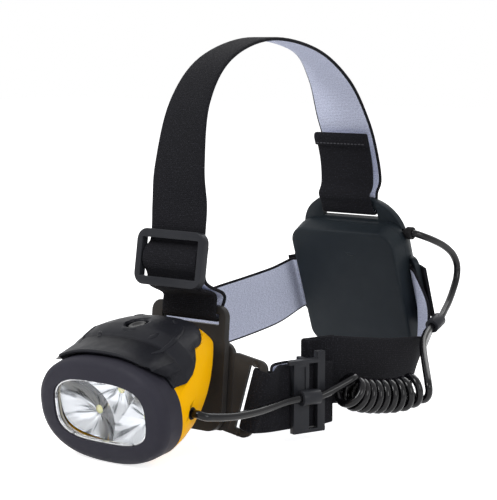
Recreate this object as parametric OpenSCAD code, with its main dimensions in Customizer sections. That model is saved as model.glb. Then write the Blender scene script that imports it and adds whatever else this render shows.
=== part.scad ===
// Miner's cap lamp: a tilting lamp head with three LEDs, an adjustable webbing
// headband with a strap over the crown, and a box for four AA cells at the back,
// joined by a lead that is coiled at one side.
// Millimetres. The front is -Y, up is +Z and +X is the side that carries the lead.
// The origin is the middle of the wearer's head opening.

/* [Webbing] */
// Width of the side straps and the crown strap
web_w = 30; // [28:0.5:31]
// Thickness of the webbing
web_t = 1.5; // [1.2:0.1:1.7]
// Clearance between the webbing and the bars that it wraps
web_gap = 0.25; // [0.15:0.05:0.4]

/* [Lamp head] */
// Width of the bezel
bezel_w = 69.2; // [66:0.2:72]
// Height of the bezel
bezel_h = 44.6; // [43:0.2:46]
// Depth of the bezel from its front face
bezel_depth = 12; // [11:0.5:13]
// Width of the lens opening
lens_w = 50.4; // [46:0.2:53]
// Height of the lens opening
lens_h = 26.6; // [24:0.2:29]
// Thickness of the lens
lens_t = 2; // [1.5:0.1:2.5]
// Depth of the lens below the front face
lens_recess = 2; // [1:0.1:2.5]
// Depth of the housing from the front face to its rearmost point
housing_depth = 52.5; // [50:0.5:53]
// Width of the housing at its rear
housing_rear_w = 40; // [38:0.5:43]
// Height of the housing's top above the middle of the bezel
housing_top = 30; // [28:0.5:31]
// Wall of the moulded housing
housing_wall = 2.2; // [1.8:0.1:2.6]
// Thickness of the rubber top cover
cover_t = 1.6; // [1.2:0.1:2]
// Forward tilt of the lamp as it is worn
lamp_pitch = 7.9; // [5:0.1:10]
// Diameter of the power button
button_d = 10; // [8:0.5:11]
// Travel of the power button
button_travel = 1; // [0.6:0.1:1.2]
// Diameter of each reflector cup at its mouth
cup_d = 19; // [16:0.5:20]
// Thickness of the LED board
board_t = 1.6; // [1:0.1:2]

/* [Tilt hinge] */
// Diameter of the hinge knuckles
knuckle_d = 8; // [7:0.5:9]
// Diameter of the hinge pin
pin_d = 3; // [2.5:0.1:3.5]
// Radial clearance of the pin in the turning knuckle
pin_clearance = 0.05; // [0.02:0.01:0.08]
// Length of the lamp's knuckle
knuckle_len = 18; // [14:0.5:20]
// Length of each knuckle on the bracket
bracket_knuckle_len = 6; // [5:0.5:7]
// Gap between neighbouring knuckles, filled by a washer
knuckle_gap = 0.8; // [0.6:0.1:1]
// Running gap round everything that turns with the lamp
hinge_gap = 0.4; // [0.3:0.05:0.6]

/* [Bracket] */
// Width of the tilt bracket
slab_w = 44; // [42:0.5:46]
// Height of the tilt bracket
slab_h = 45; // [43:0.5:47]
// Thickness of the tilt bracket
slab_t = 3.2; // [2.8:0.1:3.6]
// Thickness of the forehead plate
plate_t = 2.2; // [1.8:0.1:2.6]
// Gap between the tilt bracket and the forehead plate
plate_gap = 0.8; // [0.6:0.1:1.2]
// Height of the strap ears
ear_h = 34; // [33.5:0.5:36]
// Height of the slot in each ear
ear_slot_h = 28; // [27:0.5:29]
// Width of the slot in each ear
ear_slot_w = 4.6; // [4.2:0.2:5.4]
// Width of the bar outside each slot
ear_bar_w = 3.4; // [2.8:0.1:3.8]
// Thickness of the foam pad
pad_t = 4.5; // [3:0.5:6]

/* [Sliders] */
// Width of the crown slider
top_slider_w = 36.5; // [35:0.5:40]
// Height of the crown slider
top_slider_h = 24; // [23:0.5:26]
// Thickness of the crown slider
top_slider_t = 4; // [3.4:0.1:4.6]
// Height of the side slider
side_slider_h = 32; // [31.5:0.5:34]
// Length of the side slider along the strap
side_slider_l = 16; // [15.5:0.5:17]
// Thickness of the bars of the side slider
side_slider_t = 3; // [2.6:0.1:3.4]

/* [Battery box] */
// Width of the battery box
box_w = 62; // [61:0.5:64]
// Height of the battery box
box_h = 66; // [64:0.5:68]
// Depth of the cover in front of the seam
cover_d = 8; // [7.5:0.25:8.5]
// Depth of the tray behind the seam
tray_d = 11; // [10.75:0.25:11.5]
// Wall of the battery box
box_wall = 1.8; // [1.5:0.1:2]
// Corner radius of the battery box
box_r = 10; // [8:0.5:11]
// Diameter of an AA cell
cell_d = 14.2; // [13.7:0.1:14.4]
// Length of the body of an AA cell
cell_l = 49; // [48:0.5:49.5]
// Distance between neighbouring cells
cell_pitch = 14.5; // [14.45:0.05:14.6]
// Lean of the battery box, its lower edge further back
box_lean = 20; // [18:0.5:22]
// Diameter of the cover's hinge pin
cover_pin_d = 2; // [1.8:0.1:2.2]

/* [Lead] */
// Diameter of the lead
cord_d = 3.4; // [3:0.1:3.6]
// Outer diameter of the coiled stretch
coil_d = 15.6; // [14.6:0.2:16.4]

/* [Hidden] */

$fn = 48;
eps = 0.05;
fit = 0.1;
seat = 0.3;

// ---------- shared shapes ----------

function unit(v) = v / norm(v);
function along(pts, i) = unit(pts[min(i + 1, len(pts) - 1)] - pts[max(i - 1, 0)]);

// Point t of the way from b to c on the smooth curve through a, b, c and d
function curve_point(a, b, c, d, t) =
    0.5 * ((2 * b) + (c - a) * t + (2 * a - 5 * b + 4 * c - d) * t * t
           + (3 * b - a - 3 * c + d) * t * t * t);

// The smooth curve through the given points, with n steps between neighbours
function smooth(pts, n) =
    let (last = len(pts) - 1)
    [for (i = [0:last - 1], k = [0:n - 1])
         curve_point(pts[max(i - 1, 0)], pts[i], pts[i + 1], pts[min(i + 2, last)], k / n),
     pts[last]];

// Five places round [x, y] at distance r, from angle a0 to a1
function bend(x, y, r, a0, a1) =
    [for (k = [0:4])
         let (a = a0 + (a1 - a0) * k / 4)
         [x + r * cos(a), y + r * sin(a)]];

// Squared-off ellipse, a and b are its half width and half height
function squircle(a, b, e, n) =
    [for (i = [0:n - 1])
         let (c = cos(360 * i / n), s = sin(360 * i / n))
         [a * sign(c) * pow(abs(c), 2 / e), b * sign(s) * pow(abs(s), 2 / e)]];

// A closed skin over rings of points, all with the same number of points
module skin(rings) {
    m = len(rings[0]);
    last = len(rings) - 1;
    polyhedron(
        points = [for (ring = rings) each ring],
        faces = concat(
            [[for (j = [0:m - 1]) j]],
            [for (i = [0:last - 1], j = [0:m - 1])
                 [i * m + j, (i + 1) * m + j, (i + 1) * m + (j + 1) % m]],
            [for (i = [0:last - 1], j = [0:m - 1])
                 [i * m + j, (i + 1) * m + (j + 1) % m, i * m + (j + 1) % m]],
            [[for (j = [0:m - 1]) last * m + m - 1 - j]]),
        convexity = 8);
}

// Flat webbing along a route. Each route row is [point, width direction, width].
module webbing(rows, steps) {
    pts = smooth([for (r = rows) r[0]], steps);
    dirs = smooth([for (r = rows) r[1]], steps);
    widths = smooth([for (r = rows) [r[2], 0, 0]], steps);
    skin([for (i = [0:len(pts) - 1])
              let (t = along(pts, i),
                   w = unit(dirs[i]),
                   n = unit(cross(t, w)),
                   a = w * widths[i][0] / 2,
                   b = n * web_t / 2)
              [pts[i] - a - b, pts[i] + a - b, pts[i] + a + b, pts[i] - a + b]]);
}

// Round lead along a route, as a tube with flat ends
module tube(pts, d, sides = 8) {
    skin([for (i = [0:len(pts) - 1])
              let (t = along(pts, i),
                   u = unit(cross(t, abs(t[2]) > 0.9 ? [1, 0, 0] : [0, 0, 1])),
                   v = cross(t, u))
              [for (k = [0:sides - 1])
                   pts[i] + d / 2 * (u * cos(360 * k / sides) + v * sin(360 * k / sides))]]);
}

// Upright plate in the XZ plane, from y = 0 to y = t, with rounded corners
module plate(w, h, t, r) {
    translate([0, t, 0])
        rotate([90, 0, 0])
            linear_extrude(t)
                rounded(w, h, r);
}

module rounded(w, h, r) {
    union() {
        square([w - 2 * r, h], center = true);
        square([w, h - 2 * r], center = true);
        for (x = [-1, 1], y = [-1, 1])
            translate([x * (w / 2 - r), y * (h / 2 - r)])
                circle(r);
    }
}

module both_sides() {
    children();
    mirror([1, 0, 0])
        children();
}

// Cylinder of length l along X, centred
module bar_x(d, l) {
    rotate([0, 90, 0])
        cylinder(d = d, h = l, center = true);
}

// Cylinder of length l from y = 0 towards +Y
module bar_y(d, l) {
    rotate([-90, 0, 0])
        cylinder(d = d, h = l);
}

// ---------- turning points between frames ----------

function turn_x(p, a) =
    [p[0], p[1] * cos(a) - p[2] * sin(a), p[1] * sin(a) + p[2] * cos(a)];
function turn_y(p, a) =
    [p[0] * cos(a) + p[2] * sin(a), p[1], -p[0] * sin(a) + p[2] * cos(a)];
function turn_z(p, a) =
    [p[0] * cos(a) - p[1] * sin(a), p[0] * sin(a) + p[1] * cos(a), p[2]];

// ---------- lamp head: places and forms ----------

lamp_y = -117.7;
lamp_z = -26;
bezel_e = 2.37;
lens_e = 3.17;
form_e = 2.6;
shell_n = 64;
lens_lip = 2.4;
seal_t = 1;
reflector_depth = 12;
cup_hole = 2.8;
board_y = lens_recess + lens_t + seal_t + reflector_depth;
spigot_l = 3.5;
bezel_wall = 2.6;
hinge_y = housing_depth + 1.5;
visor_y = 5.5;
visor_back = bezel_depth + 5.5;
visor_foot = 16.5;
visor_gap = 1.1;
visor_t = 1.3;
hinge_z = 12;
form_z = 16;
underside_e = 1.72;
crown_y = 26;
button_y = 28.5;
button_rise = 1.5;
flange_t = 1;
flange_w = 1.4;
cord_exit_y = 20;
cord_exit_z = -2;
stub_x = 27;
stub_end_x = 36.5;
relief_d = knuckle_d + 2 * hinge_gap;
washer_t = knuckle_gap - 0.1;
bracket_knuckle_x = knuckle_len / 2 + knuckle_gap + bracket_knuckle_len / 2;
pin_l = 2 * bracket_knuckle_x + bracket_knuckle_len;
cup_x = 12.5;
cups = [[-cup_x, -4.5], [cup_x, -4.5], [0, 5]];
switch_board_z = 16.5;
post_x = 9.5;

hinge_point = turn_x([0, hinge_y, hinge_z], lamp_pitch) + [0, lamp_y, lamp_z];

module lamp_frame() {
    translate([0, lamp_y, lamp_z])
        rotate([lamp_pitch, 0, 0])
            children();
}

// Squared-off slice of the lamp, from y to y + t
module slice(y, a, b, e, t = eps, z = 0) {
    translate([0, y + t, z])
        rotate([90, 0, 0])
            linear_extrude(t)
                polygon(squircle(a, b, e, shell_n));
}

function back_share(y) = (y - bezel_depth) / (housing_depth - bezel_depth);
function underside(y) =
    form_z - (form_z + bezel_h / 2 - 0.5)
             * pow(1 - pow(back_share(y), underside_e), 1 / underside_e);
function roof(y) =
    y < crown_y
    ? bezel_h / 2 - 0.5
      + (housing_top - bezel_h / 2 + 0.5) * sin(90 * (y - bezel_depth) / (crown_y - bezel_depth))
    : form_z + (housing_top - form_z)
               * pow(1 - pow((y - crown_y) / (housing_depth - crown_y), 3), 1 / 3);
function cheek(y) =
    bezel_w / 2 - 0.8 - (bezel_w - 1.6 - housing_rear_w) / 2 * pow(back_share(y), 2);

// Outer form of the lamp behind the bezel, grown by g and started early by front
module lamp_form(g, front = 0) {
    stations = 9;
    hull()
        for (k = [0:stations]) {
            share = sin(90 * k / stations);
            y = bezel_depth + (housing_depth - bezel_depth - eps) * share * 0.985;
            half_h = (roof(y) - underside(y)) / 2;
            slice(y + (k == 0 ? -front : g * share), cheek(y) + g, half_h + g, form_e,
                  z = (roof(y) + underside(y)) / 2);
        }
}

// Room of the rubber cover: the roof and the upper cheeks, grown by g
module cover_room(g) {
    rotate([90, 0, 90])
        translate([0, 0, -bezel_w])
            linear_extrude(2 * bezel_w)
                polygon([[bezel_depth - 2, 11.5 - g], [18, 11.5 - g], [23 + g / 2, 13.5 - g],
                         [28 + g, 17.5 - g / 2], [32 + g, 22], [34 + g, 28], [34 + g, 60],
                         [bezel_depth - 2, 60]]);
    translate([0, crown_y, 20 - g])
        linear_extrude(50)
            polygon(squircle(27 + g, 23.5 + g, form_e, shell_n));
}

// ---------- lamp head: pieces ----------

module bezel() {
    color("#2e2e34")
    lamp_frame()
    difference() {
        // Rings from the rear face to the rounded front edge: depth and inset
        skin([for (row = [[bezel_depth, 0], [4.5, 0], [2.6, 0.3], [0.9, 1.3], [0, 3.4]])
                  [for (p = squircle(bezel_w / 2 - row[1], bezel_h / 2 - row[1], bezel_e,
                                     shell_n))
                       [p[0], row[0], p[1]]]]);
        slice(-1, lens_w / 2, lens_h / 2, lens_e, t = bezel_depth);
        slice(lens_recess, lens_w / 2 + lens_lip, lens_h / 2 + lens_lip, lens_e,
              t = bezel_depth);
        slice(bezel_depth - spigot_l - fit, bezel_w / 2 - bezel_wall,
              bezel_h / 2 - bezel_wall, bezel_e, t = bezel_depth);
    }
}

module lens() {
    color("#dfe8ee", 0.4)
    lamp_frame()
    slice(lens_recess, lens_w / 2 + lens_lip - fit, lens_h / 2 + lens_lip - fit, lens_e,
          t = lens_t);
}

module lens_seal() {
    color("#1c1c1e")
    lamp_frame()
    difference() {
        slice(lens_recess + lens_t, lens_w / 2 + lens_lip - fit,
              lens_h / 2 + lens_lip - fit, lens_e, t = seal_t);
        slice(lens_recess, lens_w / 2, lens_h / 2, lens_e, t = 2 * lens_t);
    }
}

// Hollow of one reflector cup, a paraboloid with its mouth at y = 0
module cup_hollow() {
    rim = cup_d / 2;
    rotate([-90, 0, 0])
        rotate_extrude()
            polygon(concat([[0, -1], [rim, -1]],
                           [for (k = [0:12])
                                let (r = rim - (rim - cup_hole) * k / 12)
                                [r, reflector_depth * (1 - pow(r / rim, 2))]],
                           [[cup_hole, reflector_depth + 1], [0, reflector_depth + 1]]));
}

module reflector() {
    wall = 1.2;
    front = board_y - reflector_depth;
    color("#e9edf0")
    lamp_frame()
    difference() {
        union() {
            slice(front, lens_w / 2 + lens_lip - fit, lens_h / 2 + lens_lip - fit, lens_e,
                  t = wall);
            for (c = cups)
                translate([c[0], front + wall, c[1]])
                    rotate([-90, 0, 0])
                        cylinder(d1 = cup_d + 1.8, d2 = 9, h = reflector_depth - wall);
        }
        for (c = cups)
            translate([c[0], front, c[1]])
                cup_hollow();
    }
}

module led_board() {
    color("#2f6b45")
    lamp_frame()
    slice(board_y, lens_w / 2 - 1, lens_h / 2 - 1, lens_e, t = board_t);
}

module leds() {
    color("#f6e9a0")
    lamp_frame()
    for (c = cups)
        translate([c[0], board_y, c[1]])
            rotate([90, 0, 0]) {
                cylinder(d = 5.2, h = 1.6);
                translate([0, 0, 1.6])
                    intersection() {
                        sphere(d = 4.4);
                        cylinder(d = 5, h = 5);
                    }
            }
}

module heat_sink() {
    base_t = 1.5;
    fin_h = 4;
    color("#b8bcc0")
    lamp_frame() {
        slice(board_y + board_t, lens_w / 2 - 3, lens_h / 2 - 3, lens_e, t = base_t);
        for (x = [-18:4:18])
            translate([x - 0.5, board_y + board_t + base_t - eps, -7])
                cube([1, fin_h, 14]);
    }
}

module lamp_housing() {
    color("#ffb800")
    lamp_frame()
    difference() {
        union() {
            difference() {
                lamp_form(0);
                cover_room(fit);
            }
            lamp_form(-cover_t);
            slice(bezel_depth - spigot_l, bezel_w / 2 - bezel_wall - fit,
                  bezel_h / 2 - bezel_wall - fit, bezel_e, t = spigot_l + 1);
            translate([0, hinge_y, hinge_z])
                bar_x(knuckle_d, knuckle_len);
            for (s = [-1, 1])
                translate([s * post_x, button_y, switch_board_z])
                    cylinder(d = 4, h = roof(button_y) - cover_t - 1 - switch_board_z);
        }
        difference() {
            union() {
                lamp_form(-cover_t - housing_wall);
                slice(bezel_depth - spigot_l - 1, bezel_w / 2 - bezel_wall - 1.8,
                      bezel_h / 2 - bezel_wall - 1.8, bezel_e, t = spigot_l + 4);
            }
            for (s = [-1, 1])
                translate([s * post_x, button_y, switch_board_z])
                    cylinder(d = 4, h = bezel_h);
        }
        translate([0, hinge_y, hinge_z]) {
            bar_x(pin_d + 2 * pin_clearance, 3 * knuckle_len);
            for (s = [-1, 1])
                translate([s * (bracket_knuckle_x + 1), 0, 0])
                    bar_x(relief_d, bracket_knuckle_len + 2 * knuckle_gap + 2);
        }
        translate([0, button_y, 0])
            cylinder(d = button_d + 2 * fit, h = 2 * bezel_h);
        // Flat seat over the button's flange
        translate([0, button_y, plunger_top])
            cylinder(d = button_d + 2 * flange_w + 2 * seat,
                     h = button_travel + fit + flange_t + seat);
        translate([stub_x, cord_exit_y, cord_exit_z])
            rotate([0, 90, 0])
                cylinder(d = cord_d + 2, h = 20);
        for (s = [-1, 1])
            translate([s * post_x, button_y, switch_board_z - 1])
                cylinder(d = 1.6, h = 6);
    }
}

module top_cover() {
    color("#33333a")
    lamp_frame()
    difference() {
        union() {
            intersection() {
                union() {
                    lamp_form(0.7);
                    slice(bezel_depth - 1.2, bezel_w / 2 + 1.1, bezel_h / 2 + 1.1, bezel_e,
                          t = 1.2 + eps);
                }
                cover_room(0);
            }
            // Visor over the top edge of the bezel
            intersection() {
                hull() {
                    slice(visor_y, bezel_w / 2 + visor_gap + visor_t,
                          bezel_h / 2 + visor_gap + visor_t, bezel_e);
                    slice(visor_back, cheek(visor_back) + 0.7,
                          (roof(visor_back) - underside(visor_back)) / 2 + 0.7, form_e,
                          z = (roof(visor_back) + underside(visor_back)) / 2);
                }
                translate([-bezel_w, 0, visor_foot])
                    cube([2 * bezel_w, visor_back, bezel_h]);
            }
        }
        slice(0, bezel_w / 2 + visor_gap, bezel_h / 2 + visor_gap, bezel_e,
              t = bezel_depth - 1.2);
        lamp_form(-cover_t + fit, front = fit);
        slice(0, bezel_w / 2 + fit, bezel_h / 2 + fit, bezel_e, t = bezel_depth);
        translate([0, button_y, 0])
            cylinder(d = button_d + 2 * fit, h = 2 * bezel_h);
    }
}

module switch_board() {
    color("#2f6b45")
    lamp_frame()
    translate([-13, button_y - 7, switch_board_z - board_t])
        difference() {
            cube([26, 14, board_t]);
            for (s = [-1, 1])
                translate([13 + s * post_x, 7, -1])
                    cylinder(d = 2.2, h = 2 * board_t + 1);
        }
}

plunger_top = roof(button_y) - cover_t - housing_wall - flange_t - seat - button_travel - fit;

module switch_body() {
    body_h = plunger_top - switch_board_z - 1;
    color("#26282b")
    lamp_frame()
    translate([0, button_y, switch_board_z]) {
        translate([-4, -4, 0])
            cube([8, 8, body_h]);
        cylinder(d = 3.5, h = body_h + 1);
    }
}

module lamp_screws() {
    color("#9aa0a6")
    lamp_frame()
    for (s = [-1, 1])
        translate([s * post_x, button_y, switch_board_z - board_t]) {
            cylinder(d = 1.6 - eps, h = board_t + 4);
            mirror([0, 0, 1])
                cylinder(d = 3.4, h = 1.2);
        }
}

module cord_grommet() {
    color("#151517")
    lamp_frame()
    translate([stub_x + 1, cord_exit_y, cord_exit_z])
        rotate([0, 90, 0])
            difference() {
                cylinder(d = cord_d + 2 - fit, h = 5);
                translate([0, 0, -1])
                    cylinder(d = cord_d, h = 7);
            }
}

module cord_stub() {
    color("#1a1a1c")
    lamp_frame()
    translate([stub_x, cord_exit_y, cord_exit_z])
        rotate([0, 90, 0])
            cylinder(d = cord_d, h = stub_end_x - stub_x);
}

module power_button() {
    top = roof(button_y) + button_rise;
    base = plunger_top + button_travel + fit;
    color("#101013")
    lamp_frame()
    translate([0, button_y, 0])
        intersection() {
            union() {
                translate([0, 0, base])
                    cylinder(d = button_d, h = top - base);
                translate([0, 0, base])
                    cylinder(d = button_d + 2 * flange_w, h = flange_t);
            }
            translate([0, 0, top - button_d])
                union() {
                    sphere(d = 2 * button_d, $fn = 64);
                    translate([0, 0, -button_d])
                        cylinder(d = 2 * button_d, h = button_d);
                }
        }
}

// ---------- front bracket ----------

bracket_lean = 5;
hinge_to_plate = 6.9;
hinge_above_middle = 11.8;
tab_w = 41;
tab_x = 1;
tab_strap_x = 2.2;
tab_bar_h = 3.6;
tab_slot_h = 4.6;
tab_top = 31.5;
ear_root_x = 22;
ear_root_z = -4.7;
ear_sweep = 12;
ear_lean = 12;
ear_slot_x = 6.6;
ear_l = ear_slot_x + ear_slot_w + ear_bar_w;
bracket_screw_d = 2.5;
bracket_screw_x = 14;
bracket_screw_z = -12;
slab_y = -plate_gap - slab_t;

module bracket_frame() {
    translate(hinge_point)
        rotate([-bracket_lean, 0, 0])
            translate([0, hinge_to_plate, -hinge_above_middle])
                children();
}

function bracket_point(p) =
    hinge_point + turn_x(p + [0, hinge_to_plate, -hinge_above_middle], -bracket_lean);
function ear_turn(p) = turn_z(turn_y(p, ear_lean), ear_sweep);
function ear_point(p) = bracket_point(ear_turn(p) + [ear_root_x, plate_t / 2, ear_root_z]);
function ear_dir(p) = turn_x(ear_turn(p), -bracket_lean);

module tilt_bracket() {
    color("#3b3a3a")
    bracket_frame()
    difference() {
        union() {
            translate([0, slab_y, 0])
                plate(slab_w, slab_h, slab_t, 8);
            translate([tab_x, slab_y, tab_top / 2])
                plate(tab_w, tab_top, slab_t, 5);
            translate([0, -hinge_to_plate, hinge_above_middle])
                for (s = [-1, 1])
                    translate([s * bracket_knuckle_x, 0, 0])
                        bar_x(knuckle_d, bracket_knuckle_len);
            for (s = [-1, 1])
                translate([s * bracket_screw_x, slab_y + slab_t - eps, bracket_screw_z])
                    bar_y(7, plate_gap - eps);
        }
        translate([tab_strap_x - web_w / 2 - 0.8, slab_y - 1,
                   tab_top - tab_bar_h - tab_slot_h])
            cube([web_w + 1.6, slab_t + 2, tab_slot_h]);
        translate([0, -hinge_to_plate, hinge_above_middle]) {
            bar_x(pin_d, 3 * knuckle_len);
            bar_x(relief_d, knuckle_len + 2 * knuckle_gap);
        }
        for (s = [-1, 1])
            translate([s * bracket_screw_x, slab_y + 1, bracket_screw_z])
                bar_y(bracket_screw_d, slab_t + plate_gap);
    }
}

module hinge_pin() {
    color("#a8adb2")
    translate(hinge_point)
        bar_x(pin_d - 0.02, pin_l);
}

module hinge_washers() {
    color("#d8d4c8")
    translate(hinge_point)
        both_sides()
            translate([knuckle_len / 2 + knuckle_gap / 2, 0, 0])
                difference() {
                    bar_x(knuckle_d - 1, washer_t);
                    bar_x(pin_d + 2 * pin_clearance, 2 * washer_t);
                }
}

module bracket_screws() {
    color("#9aa0a6")
    bracket_frame()
    for (s = [-1, 1])
        translate([s * bracket_screw_x, slab_y + 1 + seat, bracket_screw_z]) {
            bar_y(bracket_screw_d - eps, slab_t - 1 - seat + plate_gap + plate_t);
            translate([0, slab_t - 1 - seat + plate_gap + plate_t, 0])
                bar_y(5, 1.2);
        }
}

// Slotted ear, its root at x = 0 and its free end at x = length
module ear(length, height, t, slot_x, slot_w, slot_h, r = 4) {
    difference() {
        translate([length / 2 - 2, -t / 2, 0])
            plate(length + 4, height, t, r);
        translate([slot_x, -t, -slot_h / 2])
            cube([slot_w, 2 * t, slot_h]);
    }
}

module forehead_plate() {
    color("#35353a")
    bracket_frame()
    difference() {
        union() {
            translate([0, 0, -3])
                plate(2 * ear_root_x + 4, 38, plate_t, 6);
            both_sides()
                translate([ear_root_x, plate_t / 2, ear_root_z])
                    rotate([0, 0, ear_sweep])
                        rotate([0, ear_lean, 0])
                            ear(ear_l, ear_h, plate_t, ear_slot_x, ear_slot_w, ear_slot_h);
        }
        for (s = [-1, 1])
            translate([s * bracket_screw_x, -1, bracket_screw_z])
                bar_y(bracket_screw_d + 2 * fit, plate_t + 2);
        // Room for the tilt bracket in front of the roots of the ears
        translate([-slab_w / 2 - 1, slab_y - 1, -slab_h])
            cube([slab_w + 2, slab_t + 1 + plate_gap - eps, 2 * slab_h]);
    }
}

module forehead_pad() {
    color("#2a2a2c")
    bracket_frame()
    difference() {
        translate([0, plate_t + 0.05, -3])
            plate(2 * ear_root_x - 2, 34, pad_t, 8);
        for (s = [-1, 1])
            translate([s * bracket_screw_x, 0, bracket_screw_z])
                bar_y(6, plate_t + 2.5);
    }
}

// ---------- crown strap and its slider ----------

wrap_r = web_t / 2 + web_gap;
slider_point = [1.6, -73.5, 33];
slider_lean = 9;
slider_slot_h = 7;
slider_bar_h = 2.6;
slider_window_w = web_w + 0.6;

module slider_frame() {
    translate(slider_point)
        rotate([-slider_lean, 0, 0])
            children();
}

function slider_place(p) = slider_point + turn_x(p, -slider_lean);

// Frame with three bars across; the webbing passes behind the outer bars
module top_slider() {
    color("#2c3036")
    slider_frame()
    difference() {
        translate([0, -top_slider_t / 2, 0])
            plate(top_slider_w, top_slider_h, top_slider_t, 5);
        for (s = [-1, 1])
            translate([-slider_window_w / 2, -top_slider_t,
                       s * (slider_bar_h + slider_slot_h) / 2 - slider_slot_h / 2])
                cube([slider_window_w, 2 * top_slider_t, slider_slot_h]);
        translate([-slider_window_w / 2, -top_slider_t, -slider_bar_h])
            cube([slider_window_w, top_slider_t, 2 * slider_bar_h]);
    }
}

box_point = [0, 70.84, 5.98];
function box_place(p) = box_point + turn_x(p, box_lean);
function box_dir(p) = turn_x(p, box_lean);

tab_arch_w = 58;
tab_arch_top = 44;
tray_tab_t = 3;
tab_y = 4;
rear_slot_z = 33.8;
rear_slot_h = 4.8;
rear_slot_w = 32;
rear_bar_h = 4;
rear_bar_z = rear_slot_z + rear_slot_h + rear_bar_h / 2;

// Crown strap: from behind the slider down to the bracket's tab, round it, up through the
// slider, over the head to the rear bar, round that and up inside
module top_strap() {
    rear_r = tray_tab_t / 2 + wrap_r;
    rear_y = tab_y + tray_tab_t / 2;
    rear_foot = rear_bar_z - rear_bar_h / 2;
    tab_mid = tab_top - tab_bar_h / 2;
    tab_foot = tab_top - tab_bar_h;
    tab_r = slab_t / 2 + wrap_r;
    tab_middle_y = slab_y + slab_t / 2;
    front = tab_middle_y - tab_r;
    back = tab_middle_y + tab_r;
    behind = top_slider_t / 2 + wrap_r;
    across = [1, 0, 0];
    full = web_w - 0.4;
    color("#26262b")
    webbing([
        [slider_place([0.5, behind + 2.4, 6]), across, full],
        [slider_place([1, behind + 2.4, -8]), across, full],
        [bracket_point([tab_strap_x, back + 0.4, tab_mid + 6]), [1, 0, 0.05], full],
        [bracket_point([tab_strap_x, back, tab_mid + 1]), across, full],
        for (q = bend(tab_middle_y, tab_foot, tab_r, 0, -180))
            [bracket_point([tab_strap_x, q[0], q[1]]), across, full],
        [bracket_point([tab_strap_x, front, tab_mid + 1]), across, full],
        [bracket_point([tab_strap_x, front - 0.6, tab_mid + 6]), [1, 0, 0.05], full],
        [slider_place([0.5, behind + 1.3, -11.8]), across, full],
        [slider_place([0, behind + 0.1, -7.8]), across, full],
        [slider_place([0, 1.8, -5.6]), across, full],
        [slider_place([0, 0, -3.8]), across, full],
        [slider_place([0, -wrap_r, -1.4]), across, full],
        [slider_place([0, -wrap_r, 1.4]), across, full],
        [slider_place([0, 0, 3.8]), across, full],
        [slider_place([0, 1.8, 5.6]), across, full],
        [slider_place([0, behind, 7.8]), across, full],
        [slider_place([0, behind, 13]), across, full],
        [[0.6, -66.6, 56], across, web_w],
        [[0.3, -66, 72], [1, -0.11, 0], web_w],
        [[0, -59, 98], [1, -0.3, 0], web_w],
        [[0, -41.5, 116.5], [1, -0.45, 0], web_w],
        [[0, -10, 125], [1, -0.6, 0], web_w],
        [[0, 24.3, 120], [1, -0.58, 0], web_w],
        [[0, 44, 106], [1, -0.26, 0], web_w],
        [[0, 55.8, 87], across, web_w],
        [[0, 63.2, 72], across, web_w],
        [[0, 67, 58], across, web_w],
        [box_place([0, rear_y + rear_r + 1.6, rear_bar_z + 4.5]), across, full],
        [box_place([0, rear_y + rear_r + 0.1, rear_bar_z + 0.5]), across, full],
        for (q = bend(rear_y, rear_foot, rear_r, 0, -180))
            [box_place([0, q[0], q[1]]), across, full],
        [box_place([0, rear_y - rear_r - 0.2, rear_bar_z + 2]), across, full],
        [box_place([0, rear_y - rear_r - 0.7, rear_bar_z + 6]), across, full],
        [[0, 59.6, 56], across, web_w],
        [[0, 58.6, 67], across, web_w],
        [[0, 54.6, 79], across, web_w]
    ], 4);
}

// ---------- side straps and their slider ----------

side_point = [44.4, -33.8, -27];
side_turn = 70;
left_bar_w = 7.8;
right_bar_w = 3.8;
side_rail_h = 1.6;
hook_top = 19;
hook_bar_top = 22;
bar_a = [-0.3, 6.6];
bar_b = [8.2, 12.6];
hidden_bar_t = 2;
clip_d = cord_d + 3.2;
lead_lift = side_slider_t / 2 + cord_d / 2 + 0.6;

module side_frame() {
    translate(side_point)
        rotate([0, 0, side_turn])
            children();
}

function side_place(p) = side_point + turn_z(p, side_turn);

module side_slider_near() {
    half = side_slider_h / 2;
    x0 = -side_slider_l / 2;
    x1 = side_slider_l / 2;
    t = side_slider_t;
    color("#3a3c42")
    side_frame()
    difference() {
        union() {
            translate([x0, -t / 2, -half])
                cube([left_bar_w, t, side_slider_h]);
            translate([x1 - right_bar_w, -t / 2, -half])
                cube([right_bar_w, t, half + hook_top]);
            for (z = [-half, half - side_rail_h])
                translate([x0, -t / 2, z])
                    cube([side_slider_l, t, side_rail_h]);
            translate([x0 - 3, -t / 2 - 0.8, half - side_rail_h])
                cube([side_slider_l, 1.6, side_rail_h]);
            // Inner bar that the front loop is sewn to, and its two arms
            translate([bar_a[0], bar_a[1], -half])
                cylinder(d = hidden_bar_t, h = side_slider_h);
            for (z = [-half, half - side_rail_h])
                translate([bar_a[0] - hidden_bar_t / 2, 0, z])
                    cube([hidden_bar_t, bar_a[1], side_rail_h]);
            // Open-ended hook bar that holds the rear length, and its arm
            translate([bar_b[0], bar_b[1], -half])
                cylinder(d = hidden_bar_t, h = half + hook_bar_top);
            translate([x1 - right_bar_w, 0, -half])
                cube([right_bar_w + bar_b[0] + hidden_bar_t / 2 - x1, bar_b[1],
                      side_rail_h]);
            // Tunnel that holds the lead
            translate([-6, -lead_lift, 0])
                rotate([0, 90, 0])
                    cylinder(d = clip_d, h = 9);
        }
        translate([-10, -lead_lift, 0])
            rotate([0, 90, 0])
                cylinder(d = cord_d + 2 * fit, h = 20);
        translate([x0 + 2.2, -t, 3])
            cube([left_bar_w - 4, t - 0.8, half - 3 - side_rail_h - 1.5]);
    }
}

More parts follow.
